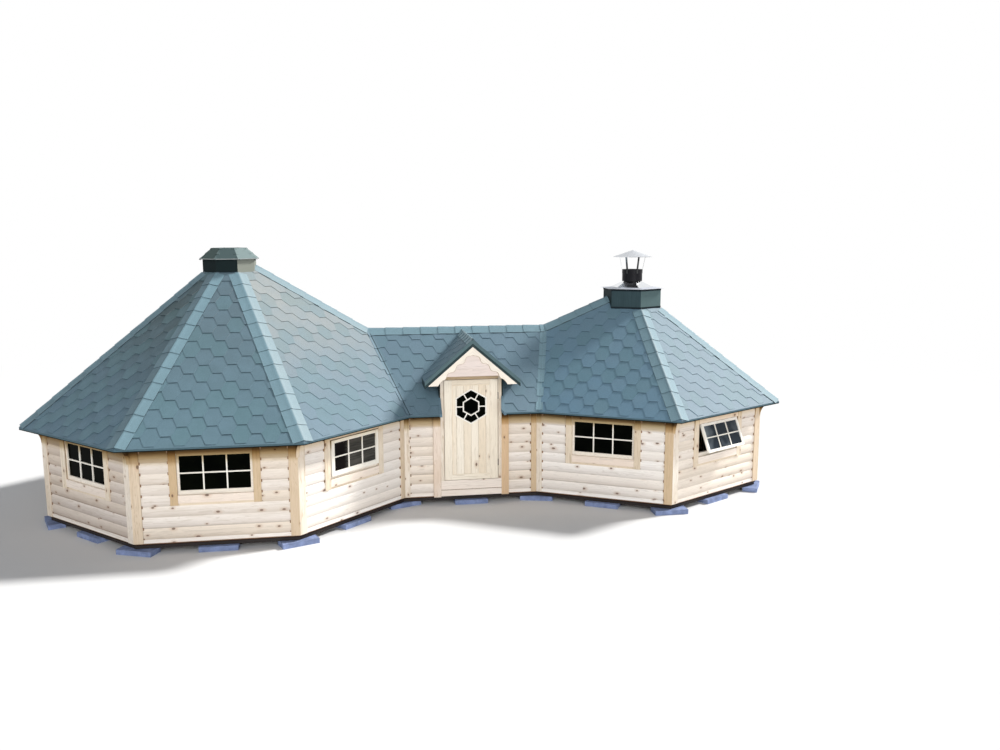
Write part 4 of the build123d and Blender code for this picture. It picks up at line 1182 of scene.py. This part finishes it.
def barge_boards(title, widen=0.0, back=0.0, thin=None):
    """Two boards along the gable's edges, whose inner edges are wavy and end in a cove."""
    shapes = Shapes(title)
    board_low, board_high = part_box("bargeboards")
    near = board_low.y + back
    far = board_high.y if thin is None else near + thin
    crown, foot = board_high.z, board_low.z
    tip = (crown - foot) / rise
    along, down = cos(roof_pitch), sin(roof_pitch)
    waves, cove = 44, 10
    cove_x, end_x = 0.392, tip - 0.131
    first_run, last_run = 0.079 * tan(roof_pitch), (cove_x + 0.06 * down) / along
    inner = []
    for step in range(waves + 1):
        run = first_run + (last_run - first_run) * step / waves
        depth = 0.064 + 0.016 * cos(2 * pi * (run - first_run) / 0.163) + widen
        inner.append((run * along - depth * down, crown - run * down - depth * along))
    inner[0] = (0, inner[0][1])
    start_x, start_z = inner[-1]
    for share in [step / cove for step in range(1, cove + 1)]:
        turn = share * pi / 2
        inner.append((start_x + (end_x - start_x) * share, start_z + (foot - start_z) * (1 - cos(turn))))
    count = len(inner)
    outer = [(tip * step / (count - 1), crown - rise * tip * step / (count - 1)) for step in range(count)]
    polygons = net(4, count, ring_rows=True) + [tuple(row * count + count - 1 for row in range(4))]
    for side in (-1, 1):
        points = []
        for edge, y in ((outer, near), (outer, far), (inner, far), (inner, near)):
            points += [Vector((link_x + side * x, y, z)) for x, z in edge]
        outwards = polygons if side > 0 else [tuple(reversed(polygon)) for polygon in polygons]
        way, across = Vector((side * along, 0, -down)), Vector((side * down, 0, along))
        shapes.add(points, outwards, axes=(way, across, front))
    return shapes


barge_boards("barge_boards").make("barge_pine", "casing_timber", ("bargeboards",), 0.0025)
# A thin darker plate behind the boards: a painted shadow line along their wavy edges
barge_boards("barge_shadow_line", 0.006, 0.0181, 0.0004).make("mid_painted_shade", "casing_timber")

# Grey-green strips along the upper part of each front edge of the dormer's slopes
verges = Shapes("dormer_verges")
for side in (-1, 1):
    outline = [(side * x, dormer_high.z - rise * x - 0.034) for x in (0, dormer_half)]
    outline += [(x, z + 0.053) for x, z in reversed(outline)]
    front_plate(verges, outline, -link_eave - 0.004, -link_eave + 0.02, 0.5)
verges.make("verge_band", "shingles")

# Felt on the roof's two edges beside the doorway. The right one's lower corner is cut off.
flashings = Shapes("cut_flashings")
far, near, edge = frame_low.y - 0.001, -link_eave - 0.004, half_doorway + 0.03
left_plan = [(-edge, near), (-half_doorway + 0.003, near), (-half_doorway + 0.003, far), (-edge, far)]
right_plan = [(edge, far), (half_doorway - 0.004, far), (half_doorway - 0.034, near + 0.05)]
right_plan += [(half_doorway, near), (edge, near)]
for plan in (left_plan, right_plan):
    flashings.post([(link_x + x, y) for x, y in plan], lambda point: roof_height("link_front", point, 0.02),
                   lambda point: roof_height("link_front", point, -0.0165), 0.5,
                   (right, slope_up("link_front"), slope_normal("link_front")))
flashings.make("slate_shingle", "shingles")

# Cap on the left roof
cap_low, cap_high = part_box("left_cap_roof")
cap_radius = (cap_high.x - cap_low.x) / 2 / cos(pi / 8)
cap_top_radius = 0.236
cap_turns = [22.5 + 45 * number for number in range(9)]
cap_middle = right * left_x
corners = [cap_middle + direction(turn) * cap_radius + up * cap_low.z for turn in cap_turns[:8]]
crowns = [cap_middle + direction(turn) * cap_top_radius + up * cap_high.z for turn in cap_turns[:8]]
cap_hips = Shapes("cap_hips")
for number, (low, high) in enumerate(zip(corners, crowns)):
    along = (high - low).normalized()
    edges = [corners[other] - low for other in (number - 1, (number + 1) % 8)]
    ways = [(edge - along * edge.dot(along)).normalized() for edge in edges]
    cap_strip(cap_hips, low, high, ways, 0.034, 0.004, exposure=0.1, crown=0.001)
cap_hips.make("cap_felt", "shingles")

cap_rim = Shapes("cap_rim")
for first, second in zip(cap_turns, cap_turns[1:]):
    plan = [cap_middle + direction(first) * (cap_radius + out) for out in (-0.02, 0.003)]
    plan += [cap_middle + direction(second) * (cap_radius + out) for out in (0.003, -0.02)]
    cap_rim.post(plan, cap_low.z - 0.002, cap_low.z + 0.007, 0.5)
cap_rim.make("rim_sheet", "dark_sheet")

# Thin bands round the flue
bands = Shapes("flue_bands")
pipe_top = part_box("flue_pipe")[1].z
band_radius, band_thickness, band_height, band_sides = 0.1398, 0.0032, 0.006, 36
for drop in (0.004, 0.063, 0.187):
    low, high, large = pipe_top - drop - band_height, pipe_top - drop, band_radius + band_thickness
    points = []
    for radius, z in ((band_radius, low), (large, low), (large, high), (band_radius, high)):
        turns = [360 * number / band_sides for number in range(band_sides)]
        points += [right * right_x + direction(turn) * radius + up * z for turn in turns]
    bands.add(points, net(4, band_sides, ring_rows=True, ring_columns=True), 0.5)
bands.make("band_sheet", "black_pipe")

# Painted shadow: dark bands round the top of the boarded collar and round its foot
collar_shadows = Shapes("collar_painted_shadows")
shadow_reach, shadow_depth = collar_reach + 0.0035, 0.006
shadow_foot = eave_z + rise * (hexagon_reach + eave_overhang - collar_reach) + 0.012
for way in [outward(name) for name in right_walls] + [direction(180)]:
    side = up.cross(way) * shadow_reach * tan(pi / 6)
    middle = right * right_x + way * shadow_reach
    inwards = way * -shadow_depth
    plan = [middle - side, middle + side, middle + side + inwards, middle - side + inwards]
    collar_shadows.post(plan, shadow_foot, shadow_foot + 0.026, 0.5)
    collar_shadows.post(plan, collar_high.z - 0.032, collar_high.z - 0.001, 0.5)
collar_shadows.make("painted_shadow_sheet", "dark_sheet")

# CAD nodes that stay in sight, by their look
painted = {
    "bare_roof": "left_roof_front_slopes left_roof_back_slopes left_roof_end_slope link_roof"
                 " right_roof_front_slopes right_roof_back_slopes right_roof_end_slope",
    "cad_pine": "left_end_wall left_front_wall left_back_wall left_diagonal_walls right_end_wall"
                " right_outer_walls right_inner_walls link_front_walls link_back_wall floor",
    "frame_pine": "window_frames open_window_frame",
    "sash_pine": "open_window_sash",
    "sill_pine": "base_frame",
    "bearers_in_painted_shade": "bearers",
    "slab_stone": "foundation_pads",
    "window_pane": "window_glass door_glass",
    "sash_pane": "open_window_glass",
    "edge_band": "dormer_roof",
    "cap_felt": "left_cap_roof",
    "cap_wall_felt": "left_cap_wall",
    "collar_sheet": "chimney_collar",
    "lid_sheet": "chimney_lid",
    "pipe_sheet": "flue_pipe",
    "rain_sheet": "rain_cap",
    "hinge_sheet": "frame_hinge_halves leaf_hinge_halves",
}
for look, nodes in painted.items():
    for node in nodes.split():
        mesh = frame["nodes"][node].data
        mesh.materials.clear()
        mesh.materials.append(looks[look])

# Camera: where the photo was taken from
camera_place = Vector((link_x - 1.5785, -12.8156, base_z + 3.5724))
camera_forward = Vector((0.1625, 0.9740, -0.1581)).normalized()
camera_up = Vector((0.0284, 0.1555, 0.9874)).normalized()
camera = bpy.data.objects.new("camera", bpy.data.cameras.new("camera"))
camera.data.lens, camera.data.sensor_width = 32.47, 36.0
camera.data.clip_end = 200
bpy.context.scene.collection.objects.link(camera)
across = camera_forward.cross(camera_up).normalized()
camera_axes = Matrix((across, across.cross(camera_forward), -camera_forward)).transposed()
camera.matrix_world = Matrix.Translation(camera_place) @ camera_axes.to_4x4()
bpy.context.scene.camera = camera


def sun(name, turn, height, strength, spread, colour):
    """A lamp far away, in the given direction seen from the object, in degrees."""
    lamp = bpy.data.objects.new(name, bpy.data.lights.new(name, "SUN"))
    lamp.data.energy = strength
    lamp.data.angle = radians(spread)
    lamp.data.color = colour
    way = direction(turn) * cos(radians(height)) + up * sin(radians(height))
    lamp.location = way * 20
    lamp.rotation_mode = "QUATERNION"
    lamp.rotation_quaternion = way.to_track_quat("Z", "Y")
    bpy.context.scene.collection.objects.link(lamp)


def studio_floor():
    """A plain pale floor, which the camera sees fade to white away from the hut."""
    bpy.ops.mesh.primitive_plane_add(size=160, location=(0, 0, 0))
    floor = bpy.context.active_object
    floor.name = "studio_floor"
    n = Nodes("studio_floor")
    place = n.place()
    n.finish(n.mix(n.noise(place, 0.8, 4.0), (0.66, 0.66, 0.66), (0.69, 0.69, 0.69)), 0.9, specular=0.1)
    away = n.new("ShaderNodeVectorMath", {0: place}, operation="LENGTH").outputs["Value"]
    seen = n.new("ShaderNodeLightPath").outputs["Is Camera Ray"]
    share = n.times(n.span(away, 7.0, 17.0), seen)
    white = n.new("ShaderNodeEmission").outputs[0]
    blend = n.new("ShaderNodeMixShader", {0: share, 1: n.shader.outputs[0], 2: white})
    n.put(blend.outputs[0], n.tree.nodes["Material Output"].inputs["Surface"])
    floor.data.materials.append(n.material)


def studio():
    """A soft sky and three far lamps. The camera, and mirrors and glass, see a white background."""
    studio_floor()
    world = bpy.data.worlds.new("studio")
    bpy.context.scene.world = world
    world.use_nodes = True
    tree = world.node_tree
    path = tree.nodes.new("ShaderNodeLightPath")
    seen = path.outputs["Is Camera Ray"]
    for ray in ("Is Glossy Ray", "Is Transmission Ray"):
        either = tree.nodes.new("ShaderNodeMath")
        either.operation = "MAXIMUM"
        tree.links.new(seen, either.inputs[0])
        tree.links.new(path.outputs[ray], either.inputs[1])
        seen = either.outputs[0]
    mix = tree.nodes.new("ShaderNodeMix")
    mix.data_type = "RGBA"
    mix.inputs[6].default_value = (0.24, 0.25, 0.265, 1)
    mix.inputs[7].default_value = (1, 1, 1, 1)
    tree.links.new(seen, mix.inputs[0])
    tree.links.new(mix.outputs[2], tree.nodes["Background"].inputs["Color"])
    tree.nodes["Background"].inputs["Strength"].default_value = 1.0
    sun("key", 15, 40, 5.3, 9, (1.0, 0.99, 0.97))
    sun("fill", 248, 28, 0.8, 40, (0.98, 0.99, 1.0))
    sun("front", 280, 10, 1.4, 40, (0.99, 0.99, 1.0))


studio()
bpy.context.scene.view_settings.view_transform = "Standard"
